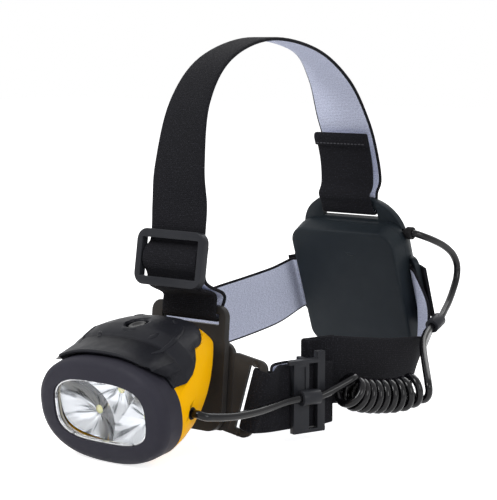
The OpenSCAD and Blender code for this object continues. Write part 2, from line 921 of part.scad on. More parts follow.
// Front loop: tail end, outer layer, round the ear bar, inner layer to the slider
module side_strap_near_front() {
    bar_x0 = ear_slot_x + ear_slot_w;
    near = plate_t / 2 + wrap_r;
    up = ear_dir([0, 0, 1]);
    lay_a = side_slider_t / 2 + wrap_r - 0.1;
    bar_r = hidden_bar_t / 2 + wrap_r;
    squeezed = ear_slot_h - 1.2;
    color("#26262b")
    webbing([
        [side_place([15, lay_a + 1.2, -0.5]), [0, 0, 1], 27],
        [side_place([8, lay_a + 0.1, -0.3]), [0, 0, 1], 28],
        [side_place([0, lay_a, 0]), [0, 0, 1], 28.5],
        [side_place([-9.5, lay_a - 0.1, 0]), [0, 0, 1], 28.5],
        [side_place([-13.5, lay_a - 0.4, 0]), [0, 0, 1], 28.5],
        [side_place([-18.4, -0.3, -0.1]), [0.1, 0.06, 1], squeezed + 1],
        [ear_point([bar_x0 + 5.3, 0.6, 0]), up, squeezed],
        [ear_point([bar_x0 + 4.4, -1.8, 0]), up, squeezed],
        [ear_point([bar_x0 + 2, -near - 0.3, 0]), up, squeezed],
        for (q = bend(bar_x0, 0, near, 270, 90))
            [ear_point([q[0], q[1], 0]), up, squeezed],
        [ear_point([bar_x0 + 2, near, 0]), up, squeezed],
        [ear_point([bar_x0 + 3, near + 0.8, 0]), up, squeezed],
        [ear_point([bar_x0 + 3.3, near + 2.2, 0]), up, squeezed],
        [side_place([-15.2, 4.7, 0]), [0, 0, 1], 28.5],
        [side_place([-9, bar_a[1] + bar_r - 0.4, 0]), [0, 0, 1], 28.5],
        [side_place([bar_a[0] - 3, bar_a[1] + bar_r, 0]), [0, 0, 1], 28.5],
        for (q = bend(bar_a[0], bar_a[1], bar_r, 90, -90))
            [side_place([q[0], q[1], 0]), [0, 0, 1], 28.5],
        [side_place([bar_a[0] - 3, bar_a[1] - bar_r, 0]), [0, 0, 1], 28.5],
        [side_place([-7, bar_a[1] - bar_r, 0]), [0, 0, 1], 28.5]
    ], 4);
}

rear_ear_sweep = -33;
rear_ear_root = [box_w / 2 - 2.5, 5, -1.9];
rear_ear_t = 2.4;
rear_ear_slot_x = 3.1;
rear_ear_slot_w = 3.6;
rear_ear_bar_w = 2.6;
rear_ear_l = rear_ear_slot_x + rear_ear_slot_w + rear_ear_bar_w;
rear_ear_h = 35;
rear_ear_slot_h = 28;
function rear_ear_point(p) = box_place(turn_z(p, rear_ear_sweep) + rear_ear_root);
function mirrored(p) = [-p[0], p[1], p[2]];

// Rear length on the lead's side: round the slider's inner bar, along, up to the ear
module side_strap_near_rear() {
    bar_r = hidden_bar_t / 2 + wrap_r;
    z = 7.2;
    bar_x1 = rear_ear_slot_x + rear_ear_slot_w;
    near = rear_ear_t / 2 + wrap_r;
    up = box_dir([0, 0, 1]);
    color("#26262b")
    webbing([
        [side_place([24, bar_b[1] + bar_r + 0.4, z]), [0, 0, 1], web_w - 0.4],
        [side_place([bar_b[0] + 6, bar_b[1] + bar_r, z]), [0, 0, 1], web_w - 0.4],
        [side_place([bar_b[0] + 2, bar_b[1] + bar_r, z]), [0, 0, 1], web_w - 0.4],
        for (q = bend(bar_b[0], bar_b[1], bar_r, 90, 270))
            [side_place([q[0], q[1], z]), [0, 0, 1], web_w - 0.4],
        [side_place([bar_b[0] + 2, bar_b[1] - bar_r, z]), [0, 0, 1], web_w - 0.4],
        [[44.6, -15, -18.6], [0, 0, 1], web_w],
        [[48, 2, -21.2], [0, 0, 1], web_w],
        [[49.6, 24, -24.4], [0, 0, 1], web_w],
        [[48.4, 42, -26.2], [0.1, 0, 1], web_w],
        [[43.2, 55, -26.6], [0.35, 0, 0.94], web_w - 1],
        [[39.6, 63, -21], [0.45, -0.05, 0.9], web_w - 3],
        [[38.6, 67.6, -12], [0.3, -0.1, 0.95], web_w - 3],
        [rear_ear_point([bar_x1 + 3.8, -near - 1.2, -2]), [0.1, -0.3, 0.94], web_w - 3],
        [rear_ear_point([bar_x1 + 1, -near, 0]), up, rear_ear_slot_h - 1],
        for (q = bend(bar_x1, 0, near, 270, 90))
            [rear_ear_point([q[0], q[1], 0]), up, rear_ear_slot_h - 1],
        [rear_ear_point([bar_x1 + 5, near + 0.2, 0]), up, rear_ear_slot_h - 1]
    ], 4);
}

// Far side: one length from the front ear to the rear ear, its ends sewn back
module side_strap_far() {
    bar_x0 = ear_slot_x + ear_slot_w;
    near = plate_t / 2 + wrap_r;
    up = mirrored(ear_dir([0, 0, 1]));
    bar_x1 = rear_ear_slot_x + rear_ear_slot_w;
    rear_near = rear_ear_t / 2 + wrap_r;
    rear_up = box_dir([0, 0, 1]);
    squeezed = ear_slot_h - 1.2;
    color("#26262b")
    webbing([
        [mirrored(ear_point([bar_x0 + 4, near, 0])), up, squeezed],
        [mirrored(ear_point([bar_x0 + 2, near, 0])), up, squeezed],
        for (q = bend(bar_x0, 0, near, 90, 270))
            [mirrored(ear_point([q[0], q[1], 0])), up, squeezed],
        [mirrored(ear_point([bar_x0 + 2, -near, 0])), up, squeezed],
        [mirrored(ear_point([bar_x0 + 5, -1.7, 0])), [-0.1, 0.1, 1], squeezed],
        [mirrored(ear_point([bar_x0 + 7.4, 0.1, 0.6])), [0, 0.05, 1], squeezed + 1],
        [[-41.6, -50, -25.3], [0, 0, 1], web_w - 1],
        [[-43.8, -40, -22], [0, 0, 1], web_w],
        [[-46, -26, -17.5], [0, 0, 1], web_w],
        [[-48.4, -4, -12.6], [0, 0, 1], web_w],
        [[-47.6, 16, -9], [0, -0.1, 1], web_w],
        [[-45, 38, -6], [0, -0.1, 1], web_w],
        [[-40.6, 56, -2.2], [0, -0.2, 1], web_w - 0.5],
        [mirrored(rear_ear_point([bar_x1 + 5.5, -rear_near - 0.4, -0.5])), [0, -0.3, 1],
         web_w - 2],
        [mirrored(rear_ear_point([bar_x1 + 2, -rear_near, 0])), rear_up, rear_ear_slot_h - 1],
        for (q = bend(bar_x1, 0, rear_near, 270, 90))
            [mirrored(rear_ear_point([q[0], q[1], 0])), rear_up, rear_ear_slot_h - 1],
        [mirrored(rear_ear_point([bar_x1 + 6, rear_near + 0.2, 0])), rear_up,
         rear_ear_slot_h - 1]
    ], 4);
}

// ---------- battery box ----------

cover_hinge_z = -box_h / 2 - 2.6;
cover_knuckle_r = 2.4;
cover_knuckle_l = 20;
tray_knuckle_l = 8;
cover_hinge_gap = 0.3;
tray_round = 8;
cover_round = 4;
cell_y = tray_d - box_wall - cell_d / 2 - fit;
cell_nub_l = 1.3;
spring_l = 4;
contact_z = (cell_l + cell_nub_l + spring_l + 3 * fit) / 2;
contact_t = 0.6;
rib_t = 1.2;
gland_z = 27.5;
gland_y = 4.4;
gland_d = cord_d + 2.6;
gland_l = 3;

module box_frame() {
    translate(box_point)
        rotate([box_lean, 0, 0])
            children();
}

// Rounded box standing on y = 0, its far edges rounded by r
module soft_plate(w, h, t, corner, r) {
    hull() {
        plate(w, h, t - r, corner, $fn = 32);
        for (a = [30, 60, 90])
            plate(w - 2 * r * (1 - cos(a)), h - 2 * r * (1 - cos(a)),
                  t - r * (1 - sin(a)), max(corner - r * (1 - cos(a)), 1), $fn = 32);
    }
}

// Inside of one half of the box, open at y = 0
module box_hollow(depth, r) {
    w = box_w - 2 * box_wall;
    h = box_h - 2 * box_wall;
    translate([0, -1, 0])
        plate(w, h, 1 + eps, box_r - 3, $fn = 32);
    soft_plate(w, h, depth - box_wall, box_r - 3, r - box_wall);
}

module battery_tray() {
    color("#20242a")
    box_frame()
    difference() {
        union() {
            soft_plate(box_w, box_h, tray_d, box_r, tray_round);
            translate([0, tab_y, tab_arch_top / 2])
                plate(tab_arch_w, tab_arch_top, tray_tab_t, 19);
            both_sides()
                translate(rear_ear_root)
                    rotate([0, 0, rear_ear_sweep])
                        ear(rear_ear_l, rear_ear_h, rear_ear_t, rear_ear_slot_x,
                            rear_ear_slot_w, rear_ear_slot_h);
            both_sides()
                translate([cover_knuckle_l / 2 + cover_hinge_gap + tray_knuckle_l / 2, 0,
                           cover_hinge_z]) {
                    bar_x(2 * cover_knuckle_r, tray_knuckle_l);
                    translate([-tray_knuckle_l / 2, 0, 0])
                        cube([tray_knuckle_l, cover_knuckle_r, 4]);
                }
        }
        difference() {
            box_hollow(tray_d, tray_round);
            // Ribs that the contact plates stand against
            for (s = [-1, 1])
                translate([-box_w / 2, 1, s * (contact_z + contact_t + rib_t / 2) - rib_t / 2])
                    cube([box_w, tray_d, rib_t]);
        }
        translate([-rear_slot_w / 2, tab_y - 1, rear_slot_z])
            cube([rear_slot_w, tray_tab_t + 2, rear_slot_h]);
        translate([0, 0, cover_hinge_z])
            bar_x(cover_pin_d, box_w);
        // Clearance for the cover's knuckle
        translate([0, 0, cover_hinge_z])
            bar_x(2 * (cover_knuckle_r + cover_hinge_gap), cover_knuckle_l + 2 * cover_hinge_gap);
        // Room in front of the ears for the side of the cover
        translate([-box_w / 2 - cover_hinge_gap, -cover_d - 1, -box_h / 2 - 1])
            cube([box_w + 2 * cover_hinge_gap, cover_d + 1 - fit, box_h + 2]);
        translate([box_w / 2 - 8, gland_y, gland_z])
            rotate([0, 90, 0])
                cylinder(d = cord_d + 2 * fit, h = 20);
    }
}

module battery_cover() {
    color("#333a42")
    box_frame()
    difference() {
        union() {
            mirror([0, 1, 0])
                soft_plate(box_w, box_h, cover_d, box_r, cover_round);
            translate([0, 0, cover_hinge_z]) {
                bar_x(2 * cover_knuckle_r, cover_knuckle_l);
                translate([-cover_knuckle_l / 2, -cover_knuckle_r, 0])
                    cube([cover_knuckle_l, cover_knuckle_r - fit, 4]);
            }
        }
        mirror([0, 1, 0])
            box_hollow(cover_d, cover_round);
        translate([0, 0, cover_hinge_z])
            bar_x(cover_pin_d + 2 * pin_clearance, box_w);
        // Keeps the cover off the tray at the seam and at the hinge
        translate([-box_w, -fit, -box_h / 2 - 0.1])
            cube([2 * box_w, tray_d, 2 * box_h]);
    }
}

module cover_hinge_pin() {
    color("#a8adb2")
    box_frame()
    translate([0, 0, cover_hinge_z])
        bar_x(cover_pin_d - 0.02, cover_knuckle_l + 2 * cover_hinge_gap + 2 * tray_knuckle_l);
}

module cell_rows() {
    for (k = [0:3])
        translate([(k - 1.5) * cell_pitch, cell_y, 0])
            rotate([k % 2 == 0 ? 0 : 180, 0, 0])
                children();
}

module aa_cells() {
    foot = -contact_z + spring_l + 2 * fit;
    color("#c9a227")
    box_frame()
    cell_rows()
        translate([0, 0, foot]) {
            cylinder(d = cell_d, h = cell_l);
            translate([0, 0, cell_l])
                cylinder(d = 5.5, h = cell_nub_l);
        }
}

spring_wire = 0.8;
spring_turns = 3;

// Conical spring, its wide end on z = 0
module contact_spring() {
    steps = 10;
    count = spring_turns * steps;
    tube([for (k = [0:count])
              let (r = 3.4 - 1.6 * k / count)
              [r * cos(360 * k / steps), r * sin(360 * k / steps),
               spring_wire / 2 + (spring_l - spring_wire) * k / count]],
         spring_wire, 6);
}

module contact_springs() {
    color("#c3c7cb")
    box_frame()
    cell_rows()
        translate([0, 0, -contact_z])
            contact_spring();
}

module contact_plates() {
    plate_w = 9.6;
    plate_d = 8;
    color("#c3c7cb")
    box_frame()
    for (k = [0:3], s = [-1, 1])
        translate([(k - 1.5) * cell_pitch - plate_w / 2, cell_y - plate_d / 2,
                   s * (contact_z + contact_t / 2) - contact_t / 2])
            cube([plate_w, plate_d, contact_t]);
}

module battery_gland() {
    color("#1c1e21")
    box_frame()
    translate([box_w / 2 - box_wall, gland_y, gland_z])
        rotate([0, 90, 0])
            difference() {
                union() {
                    cylinder(d = cord_d + 2 * fit - 0.04, h = gland_l);
                    translate([0, 0, box_wall])
                        cylinder(d = gland_d, h = gland_l);
                }
                translate([0, 0, -1])
                    cylinder(d = cord_d - 0.6, h = gland_l + 10);
            }
}

// ---------- lead ----------

// Where the lead enters the gland
gland_mouth = box_place([box_w / 2 + gland_l - box_wall, gland_y, gland_z]);

// Clip on the rear side strap: the middle of its tunnel and the direction of the lead there
clip_at = [49.4, 62, -7.6];
function clip_place(x) = clip_at + turn_z(turn_x([0, 0, x], -72), 4);

// Route from the lamp to the coil, through the tunnel of the side slider
front_route = [[38.8, -96.4, -26], [40, -93, -26.6], [41.2, -88, -27.3], [42.2, -80, -28.1],
               [42.8, -68, -28.5], [43, -57, -28.2], [43.6, -48.5, -27.5],
               side_place([-7, -lead_lift, 0]), side_place([4, -lead_lift, 0]),
               [51.4, -25.8, -26.8], [53, -20, -26.2], [53.8, -12, -25.4]];

// Route from the coil to the battery box
rear_route = [[65, 16, -30.4], [66.2, 21.6, -30], [65.4, 26.6, -27.6], [62, 32, -21.4],
              [57, 39, -15.5], [52, 49, -11.4], clip_place(-5), clip_place(5),
              [47, 74, -3.4], [45, 81, -0.4], [43, 88, 4], [42, 93, 10],
              [41.6, 93.8, 16], [41.4, 90, 21.5], [41, 83, 26], [40, 75, 29.4],
              [38.2, 69.5, 31.6], gland_mouth + [3, 0.4, -0.2], gland_mouth];

// Middle of the coil, from the lamp's end to the box's end
coil_route = [[54.3, -18.6, -25.4], [55.8, -13.8, -28.2], [58.7, -6, -30.1], [62, 2.5, -31],
              [64.3, 8.5, -31.1], [66.7, 15, -29.8], [68.1, 19.2, -28.6]];

module cord_front() {
    color("#1a1a1c")
    tube(smooth(front_route, 2), cord_d);
}

module cord_rear() {
    color("#1a1a1c")
    tube(smooth(rear_route, 2), cord_d);
}

module cord_coil() {
    color("#1a1a1c")
    tube(coil_route, coil_d, 12);
}

// Clip that holds the lead where the side strap turns: a plate on the strap and a tunnel
module cord_clip() {
    up = unit([0.4, -0.02, 0.92]);
    out = unit(cross([-0.31, 0.93, 0.19], up));
    fore = cross(up, out);
    seat_at = clip_at - 8.6 * up;
    color("#1c1e21")
    difference() {
        union() {
            translate(clip_at)
                rotate([0, 0, 4])
                    rotate([-72, 0, 0])
                        cylinder(d = clip_d, h = 8, center = true);
            multmatrix([[fore[0], -out[0], up[0], seat_at[0]],
                        [fore[1], -out[1], up[1], seat_at[1]],
                        [fore[2], -out[2], up[2], seat_at[2]],
                        [0, 0, 0, 1]])
                plate(11, 14, 1.2, 2);
        }
        translate(clip_at)
            rotate([0, 0, 4])
                rotate([-72, 0, 0])
                    cylinder(d = cord_d + 2 * fit, h = 20, center = true);
    }
}

// ---------- drawing ----------

bezel();
lens();
lens_seal();
reflector();
led_board();
leds();
heat_sink();
lamp_housing();
top_cover();
switch_body();
switch_board();
lamp_screws();
cord_grommet();
cord_stub();
power_button();
tilt_bracket();
hinge_pin();
hinge_washers();
bracket_screws();
forehead_plate();
forehead_pad();
top_slider();
top_strap();
side_strap_near_front();
side_strap_near_rear();
side_strap_far();
side_slider_near();
cord_clip();
battery_tray();
battery_cover();
cover_hinge_pin();
aa_cells();
contact_springs();
contact_plates();
battery_gland();
cord_front();
cord_coil();
cord_rear();
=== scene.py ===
import logging
import math
from collections.abc import Callable, Sequence
from dataclasses import dataclass
from enum import Enum

import bmesh
import bpy
from mathutils import Matrix, Vector
from mathutils.bvhtree import BVHTree


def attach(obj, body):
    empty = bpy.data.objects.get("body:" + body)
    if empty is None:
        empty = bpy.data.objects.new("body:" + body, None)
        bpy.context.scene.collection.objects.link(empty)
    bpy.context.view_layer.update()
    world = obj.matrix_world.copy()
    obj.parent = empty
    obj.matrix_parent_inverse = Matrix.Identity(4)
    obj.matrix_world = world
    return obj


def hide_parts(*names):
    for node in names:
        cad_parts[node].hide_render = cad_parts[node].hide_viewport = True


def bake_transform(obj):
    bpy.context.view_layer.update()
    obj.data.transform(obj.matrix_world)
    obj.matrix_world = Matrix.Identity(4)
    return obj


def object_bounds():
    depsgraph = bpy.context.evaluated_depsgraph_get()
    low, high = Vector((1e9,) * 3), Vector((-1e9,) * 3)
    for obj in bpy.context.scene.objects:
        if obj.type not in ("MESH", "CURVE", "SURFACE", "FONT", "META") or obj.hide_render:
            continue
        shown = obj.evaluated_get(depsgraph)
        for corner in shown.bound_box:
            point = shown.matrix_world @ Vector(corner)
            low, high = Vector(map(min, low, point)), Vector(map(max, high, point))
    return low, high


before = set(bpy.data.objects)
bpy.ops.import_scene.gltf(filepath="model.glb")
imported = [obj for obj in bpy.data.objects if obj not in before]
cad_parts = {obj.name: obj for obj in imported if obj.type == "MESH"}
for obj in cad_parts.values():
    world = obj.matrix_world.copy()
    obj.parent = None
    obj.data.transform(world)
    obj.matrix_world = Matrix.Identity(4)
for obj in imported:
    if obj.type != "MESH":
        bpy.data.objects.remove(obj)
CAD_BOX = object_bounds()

logging.basicConfig(level=logging.INFO, format="%(message)s")
LOG = logging.getLogger("cap_lamp")
MM = 0.001

Colour = tuple[float, float, float, float]
Piece = bpy.types.Object
Socket = bpy.types.NodeSocket


# ---------- places shared with the construction, in millimetres ----------


def shift(x: float, y: float, z: float) -> Matrix:
    """A move by x, y and z millimetres."""
    return Matrix.Translation((x, y, z))


def turn(axis: str, degrees: float) -> Matrix:
    """A turn about one of the axes, by the right-hand rule."""
    return Matrix.Rotation(math.radians(degrees), 4, axis)


LAMP = shift(0, -117.7, -26) @ turn("X", 7.9)
HINGE = LAMP @ Vector((0, 54, 12))
BRACKET = Matrix.Translation(HINGE) @ turn("X", -5) @ shift(0, 6.9, -11.8)
EAR = BRACKET @ shift(22, 1.1, -4.7) @ turn("Z", 12) @ turn("Y", 12)
CROWN_SLIDER = shift(1.6, -73.5, 33) @ turn("X", -9)
BOX = shift(0, 70.84, 5.98) @ turn("X", 20)
REAR_EAR = BOX @ shift(28.5, 5, -1.9) @ turn("Z", -33)
SIDE_SLIDER = shift(44.4, -33.8, -27) @ turn("Z", 70)
LEAD_CLIP = shift(49.4, 62, -7.6) @ turn("Z", 4) @ turn("X", -72)
FAR_EAR = Matrix.Scale(-1, 4, (1, 0, 0)) @ EAR
FAR_REAR_EAR = Matrix.Scale(-1, 4, (1, 0, 0)) @ REAR_EAR
HEAD = Matrix.Identity(4)

WEB_W = 30.0
WEB_T = 1.5
LEAD_D = 3.4
# Distance below which the loose points of a copied mesh are one
MERGE = 0.01
# How squared-off the outlines of the bezel and of the lens are
BEZEL_E = 2.37
LENS_E = 3.17


class Body(str, Enum):
    """The moving groups of the lamp."""

    HEADBAND = "headband"
    LAMP_HEAD = "lamp_head"
    BUTTON = "button"
    COVER = "cover"


class Face(Enum):
    """Which side of a strap is the dark one, looking along its route with its width up."""

    LEFT = -1
    RIGHT = 1


# ---------- shader building ----------


class Graph:
    """The nodes of a material or of the world, with short calls for those that are needed."""

    def __init__(self, tree: bpy.types.NodeTree) -> None:
        """Takes the node tree to build in."""
        self.tree = tree

    def node(self, kind: str, **settings: object) -> bpy.types.Node:
        """Adds a node.

        Args:
            kind: The node's type name without its ShaderNode prefix.
            **settings: Properties of the node.

        Returns:
            The new node.
        """
        made = self.tree.nodes.new("ShaderNode" + kind)
        for key, value in settings.items():
            setattr(made, key, value)
        return made

    def feed(self, socket: Socket, value: object) -> None:
        """Links an output to a socket, or sets the socket's own value.

        Args:
            socket: The input socket.
            value: An output socket, a number or a colour.
        """
        if isinstance(value, Socket):
            self.tree.links.new(value, socket)
        else:
            socket.default_value = value

    def math(self, operation: str, a: object, b: object = 0.0, c: object = 0.0) -> Socket:
        """Adds a Math node.

        Args:
            operation: The node's operation.
            a: First input.
            b: Second input.
            c: Third input.

        Returns:
            The node's output.
        """
        made = self.node("Math", operation=operation)
        for socket, value in zip(made.inputs, (a, b, c)):
            self.feed(socket, value)
        return made.outputs[0]

    def place(self) -> Socket:
        """The point on the object, in metres, which is the same in every pose."""
        return self.node("TexCoord").outputs["Object"]

    def noise(self, scale: float, detail: float, vector: object = None) -> Socket:
        """Adds a noise texture.

        Args:
            scale: Grain per metre.
            detail: Octaves.
            vector: The point to read it at, by default the point on the object.

        Returns:
            The noise, from 0 to 1.
        """
        made = self.node("TexNoise")
        self.feed(made.inputs["Vector"], vector or self.place())
        made.inputs["Scale"].default_value = scale
        made.inputs["Detail"].default_value = detail
        return made.outputs["Fac"]

    def blend(self, share: object, a: object, b: object) -> Socket:
        """Mixes two colours.

        Args:
            share: How much of b shows.
            a: First colour.
            b: Second colour.

        Returns:
            The mixed colour.
        """
        made = self.node("Mix", data_type="RGBA")
        self.feed(made.inputs[0], share)
        self.feed(made.inputs[6], a)
        self.feed(made.inputs[7], b)
        return made.outputs[2]

    def spread(self, value: object, low: float, high: float, to_low: float = 0.0,
               to_high: float = 1.0) -> Socket:
        """Maps a range of values to another, clamped.

        Args:
            value: What is mapped.
            low: Value that becomes to_low.
            high: Value that becomes to_high.
            to_low: Low end of the result.
            to_high: High end of the result.

        Returns:
            The mapped value.
        """
        made = self.node("MapRange")
        for socket, number in zip(made.inputs, (value, low, high, to_low, to_high)):
            self.feed(socket, number)
        return made.outputs[0]

    def seen(self) -> Socket:
        """1 where a surface is seen, straight or by reflection or through glass, 0 elsewhere."""
        path = self.node("LightPath").outputs
        return self.math("MAXIMUM", path["Is Camera Ray"], self.math(
            "MAXIMUM", path["Is Glossy Ray"], path["Is Transmission Ray"]))


class Shader(Graph):
    """A material under construction."""

    def __init__(self, name: str) -> None:
        """Starts an empty node material.

        Args:
            name: The material's name.
        """
        self.material = bpy.data.materials.new(name)
        self.material.use_nodes = True
        super().__init__(self.material.node_tree)
        self.surface = self.tree.nodes["Principled BSDF"]

    def bump(self, height: object, distance: float) -> None:
        """Feeds a height to the surface as bump.

        Args:
            height: The height, from 0 to 1.
            distance: Its depth in metres.
        """
        made = self.node("Bump")
        made.inputs["Distance"].default_value = distance
        made.inputs["Strength"].default_value = 1.0
        self.feed(made.inputs["Height"], height)
        self.feed(self.surface.inputs["Normal"], made.outputs[0])

    def set(self, **values: object) -> None:
        """Sets or links the surface's inputs, with underscores for spaces in their names."""
        for key, value in values.items():
            self.feed(self.surface.inputs[key.replace("_", " ")], value)


def tint(red: float, green: float, blue: float) -> Colour:
    """A colour from linear parts."""
    return (red, green, blue, 1.0)


# ---------- finishes ----------


@dataclass(frozen=True)
class Moulded:
    """Moulded plastic or rubber with a fine spark-eroded grain.

    Attributes:
        name: Material name.
        colour: Linear colour.
        dust: Colour of the faint bloom on it.
        roughness: Mean roughness.
        grain: Depth of the grain in metres.
        grain_scale: Grain per metre.
        coat: Weight of a clear gloss over it.
        specular: Strength of its own reflection.
    """

    name: str
    colour: Colour
    dust: Colour
    roughness: float
    grain: float = 0.00004
    grain_scale: float = 2600.0
    coat: float = 0.0
    specular: float = 0.12

    def material(self) -> bpy.types.Material:
        """Builds the material: mottled colour, uneven gloss and a fine bump.

        Returns:
            The material.
        """
        made = Shader(self.name)
        cloud = made.spread(made.noise(70, 4), 0.42, 0.72)
        made.set(Base_Color=made.blend(made.math("MULTIPLY", cloud, 0.5), self.colour, self.dust),
                 Roughness=made.spread(made.noise(240, 3), 0.3, 0.7, self.roughness - 0.05,
                                       self.roughness + 0.06),
                 Coat_Weight=self.coat, Coat_Roughness=0.12,
                 Specular_IOR_Level=self.specular)
        made.bump(made.noise(self.grain_scale, 2), self.grain)
        return made.material


@dataclass(frozen=True)
class Metal:
    """Bare or plated metal.

    Attributes:
        name: Material name.
        colour: Linear colour.
        roughness: Mean roughness.
        swirl: How much its brushed lines show, from 0 to 1.
    """

    name: str
    colour: Colour
    roughness: float
    swirl: float

    def material(self) -> bpy.types.Material:
        """Builds the material: metallic, with fine lines round X and an uneven gloss.

        Returns:
            The material.
        """
        made = Shader(self.name)
        lines = made.noise(900, 1)
        made.set(Base_Color=made.blend(made.spread(lines, 0.3, 0.8), self.colour,
                                       tuple(0.8 * part for part in self.colour[:3]) + (1.0,)),
                 Metallic=1.0,
                 Roughness=made.spread(made.noise(160, 2), 0.3, 0.7, self.roughness * 0.8,
                                       self.roughness * 1.2))
        made.bump(lines, 0.00001 * self.swirl)
        return made.material


@dataclass(frozen=True)
class Mirrored:
    """Vacuum-metallised reflector of three cups, painted with long dark and light reflection
    streaks that run away from their LEDs.

    Attributes:
        name: Material name.
        top: Height of the upper LED over the origin, in metres.
        low: Distance of each lower LED from the middle, and its height.
        spokes: Painted reflection streaks in a radian round an LED.
        offset: How far the upper cup's streaks are read from the lower cups'.
        drift: How fast the painted reflection bands change on their way out, per metre.
        dark: Linear colour of the dark streaks, a painted reflection of dark surroundings.
        grey: Colour between the streaks.
        bright: Colour of the bright streaks, a painted reflection of bright surroundings.
    """

    name: str = "metallised"
    top: float = -0.0178
    low: tuple[float, float] = (0.0125, -0.0298)
    spokes: float = 2.6
    offset: float = 7.0
    drift: float = 60.0
    # The dark and bright colours are painted reflections; grey is the mirror's own tone
    dark: Colour = tint(0.2, 0.205, 0.215)
    grey: Colour = tint(0.7, 0.705, 0.72)
    bright: Colour = tint(0.95, 0.955, 0.97)

    def material(self) -> bpy.types.Material:
        """Builds a grey-bright mirror with painted reflections: dark and light streaks that spread
        from each LED.

        Returns:
            The material.
        """
        made = Shader(self.name)
        split = made.node("SeparateXYZ")
        made.feed(split.inputs[0], made.place())
        x, z = split.outputs[0], split.outputs[2]
        side = made.math("SUBTRACT", made.math("ABSOLUTE", x), self.low[0])
        drop = made.math("SUBTRACT", z, self.low[1])
        rise = made.math("SUBTRACT", z, self.top)
        far_low = made.math("SQRT", made.math("MULTIPLY_ADD", side, side,
                                              made.math("MULTIPLY", drop, drop)))
        far_top = made.math("SQRT", made.math("MULTIPLY_ADD", x, x,
                                              made.math("MULTIPLY", rise, rise)))
        upper = made.math("LESS_THAN", far_top, far_low)
        spoke = made.node("CombineXYZ")
        around = self._turned(made, upper, rise, x, drop, side)
        made.feed(spoke.inputs[0], made.math("MULTIPLY_ADD", upper, self.offset,
                                             made.math("MULTIPLY", self.spokes, around)))
        made.feed(spoke.inputs[1], made.math("MULTIPLY", made.math("MINIMUM", far_top, far_low),
                                             self.drift))
        # Painted reflection: this mask lays dark and bright streaks into the base colour and also
        # drives the bump
        reflection_streak = made.noise(1.0, 3, spoke.outputs[0])
        base = made.blend(made.spread(reflection_streak, 0.4, 0.47), self.dark, self.grey)
        base = made.blend(made.spread(reflection_streak, 0.56, 0.68), base, self.bright)
        made.set(Base_Color=base, Metallic=0.72,
                 Roughness=made.spread(made.noise(130, 3), 0.35, 0.7, 0.1, 0.2))
        made.bump(reflection_streak, 0.0002)
        return made.material

    @staticmethod
    def _turned(made: Shader, upper: object, rise: object, x: object, drop: object,
                side: object) -> Socket:
        """Works out the angle round the nearest LED.

        Args:
            made: The material under construction.
            upper: 1 where the upper LED is the nearest, 0 elsewhere.
            rise: Height over the upper LED.
            x: Distance from the middle, to the right.
            drop: Height over the lower LEDs.
            side: Distance from the nearer lower LED, outwards.

        Returns:
            The angle in radians.
        """
        above = made.math("ARCTAN2", rise, x)
        below = made.math("ARCTAN2", drop, side)
        return made.math("ADD", made.math("MULTIPLY", above, upper),
                         made.math("MULTIPLY", below, made.math("SUBTRACT", 1.0, upper)))


@dataclass(frozen=True)
class ClearPlastic:
    """Clear moulded lens."""

    name: str = "clear_lens"

    def material(self) -> bpy.types.Material:
        """Builds a clear, slightly blue material with a faint unevenness.

        Returns:
            The material.
        """
        made = Shader(self.name)
        made.set(Base_Color=tint(0.97, 0.985, 1.0), Roughness=0.0, IOR=1.12,
                 Transmission_Weight=1.0)
        made.bump(made.noise(60, 1), 0.00002)
        return made.material


@dataclass(frozen=True)
class Speckled:
    """A surface that wavers between two colours.

    Attributes:
        name: Material name.
        colours: The two linear colours.
        speck: Scale per metre and octaves of the specks.
        limits: Noise values at which the first and the second colour are full.
        surface: Other inputs of the surface.
        grain: Scale per metre of the fine grain and its depth in metres, 0 for none.
    """

    name: str
    colours: tuple[Colour, Colour]
    speck: tuple[float, float]
    limits: tuple[float, float]
    surface: dict[str, float]
    grain: tuple[float, float] = (1.0, 0.0)

    def material(self) -> bpy.types.Material:
        """Builds the material: specks of the second colour on the first, and a fine bump.

        Returns:
            The material.
        """
        made = Shader(self.name)
        specks = made.spread(made.noise(*self.speck), *self.limits)
        made.set(Base_Color=made.blend(specks, *self.colours), **self.surface)
        scale, depth = self.grain
        if depth:
            made.bump(made.noise(scale, 1), depth)
        return made.material


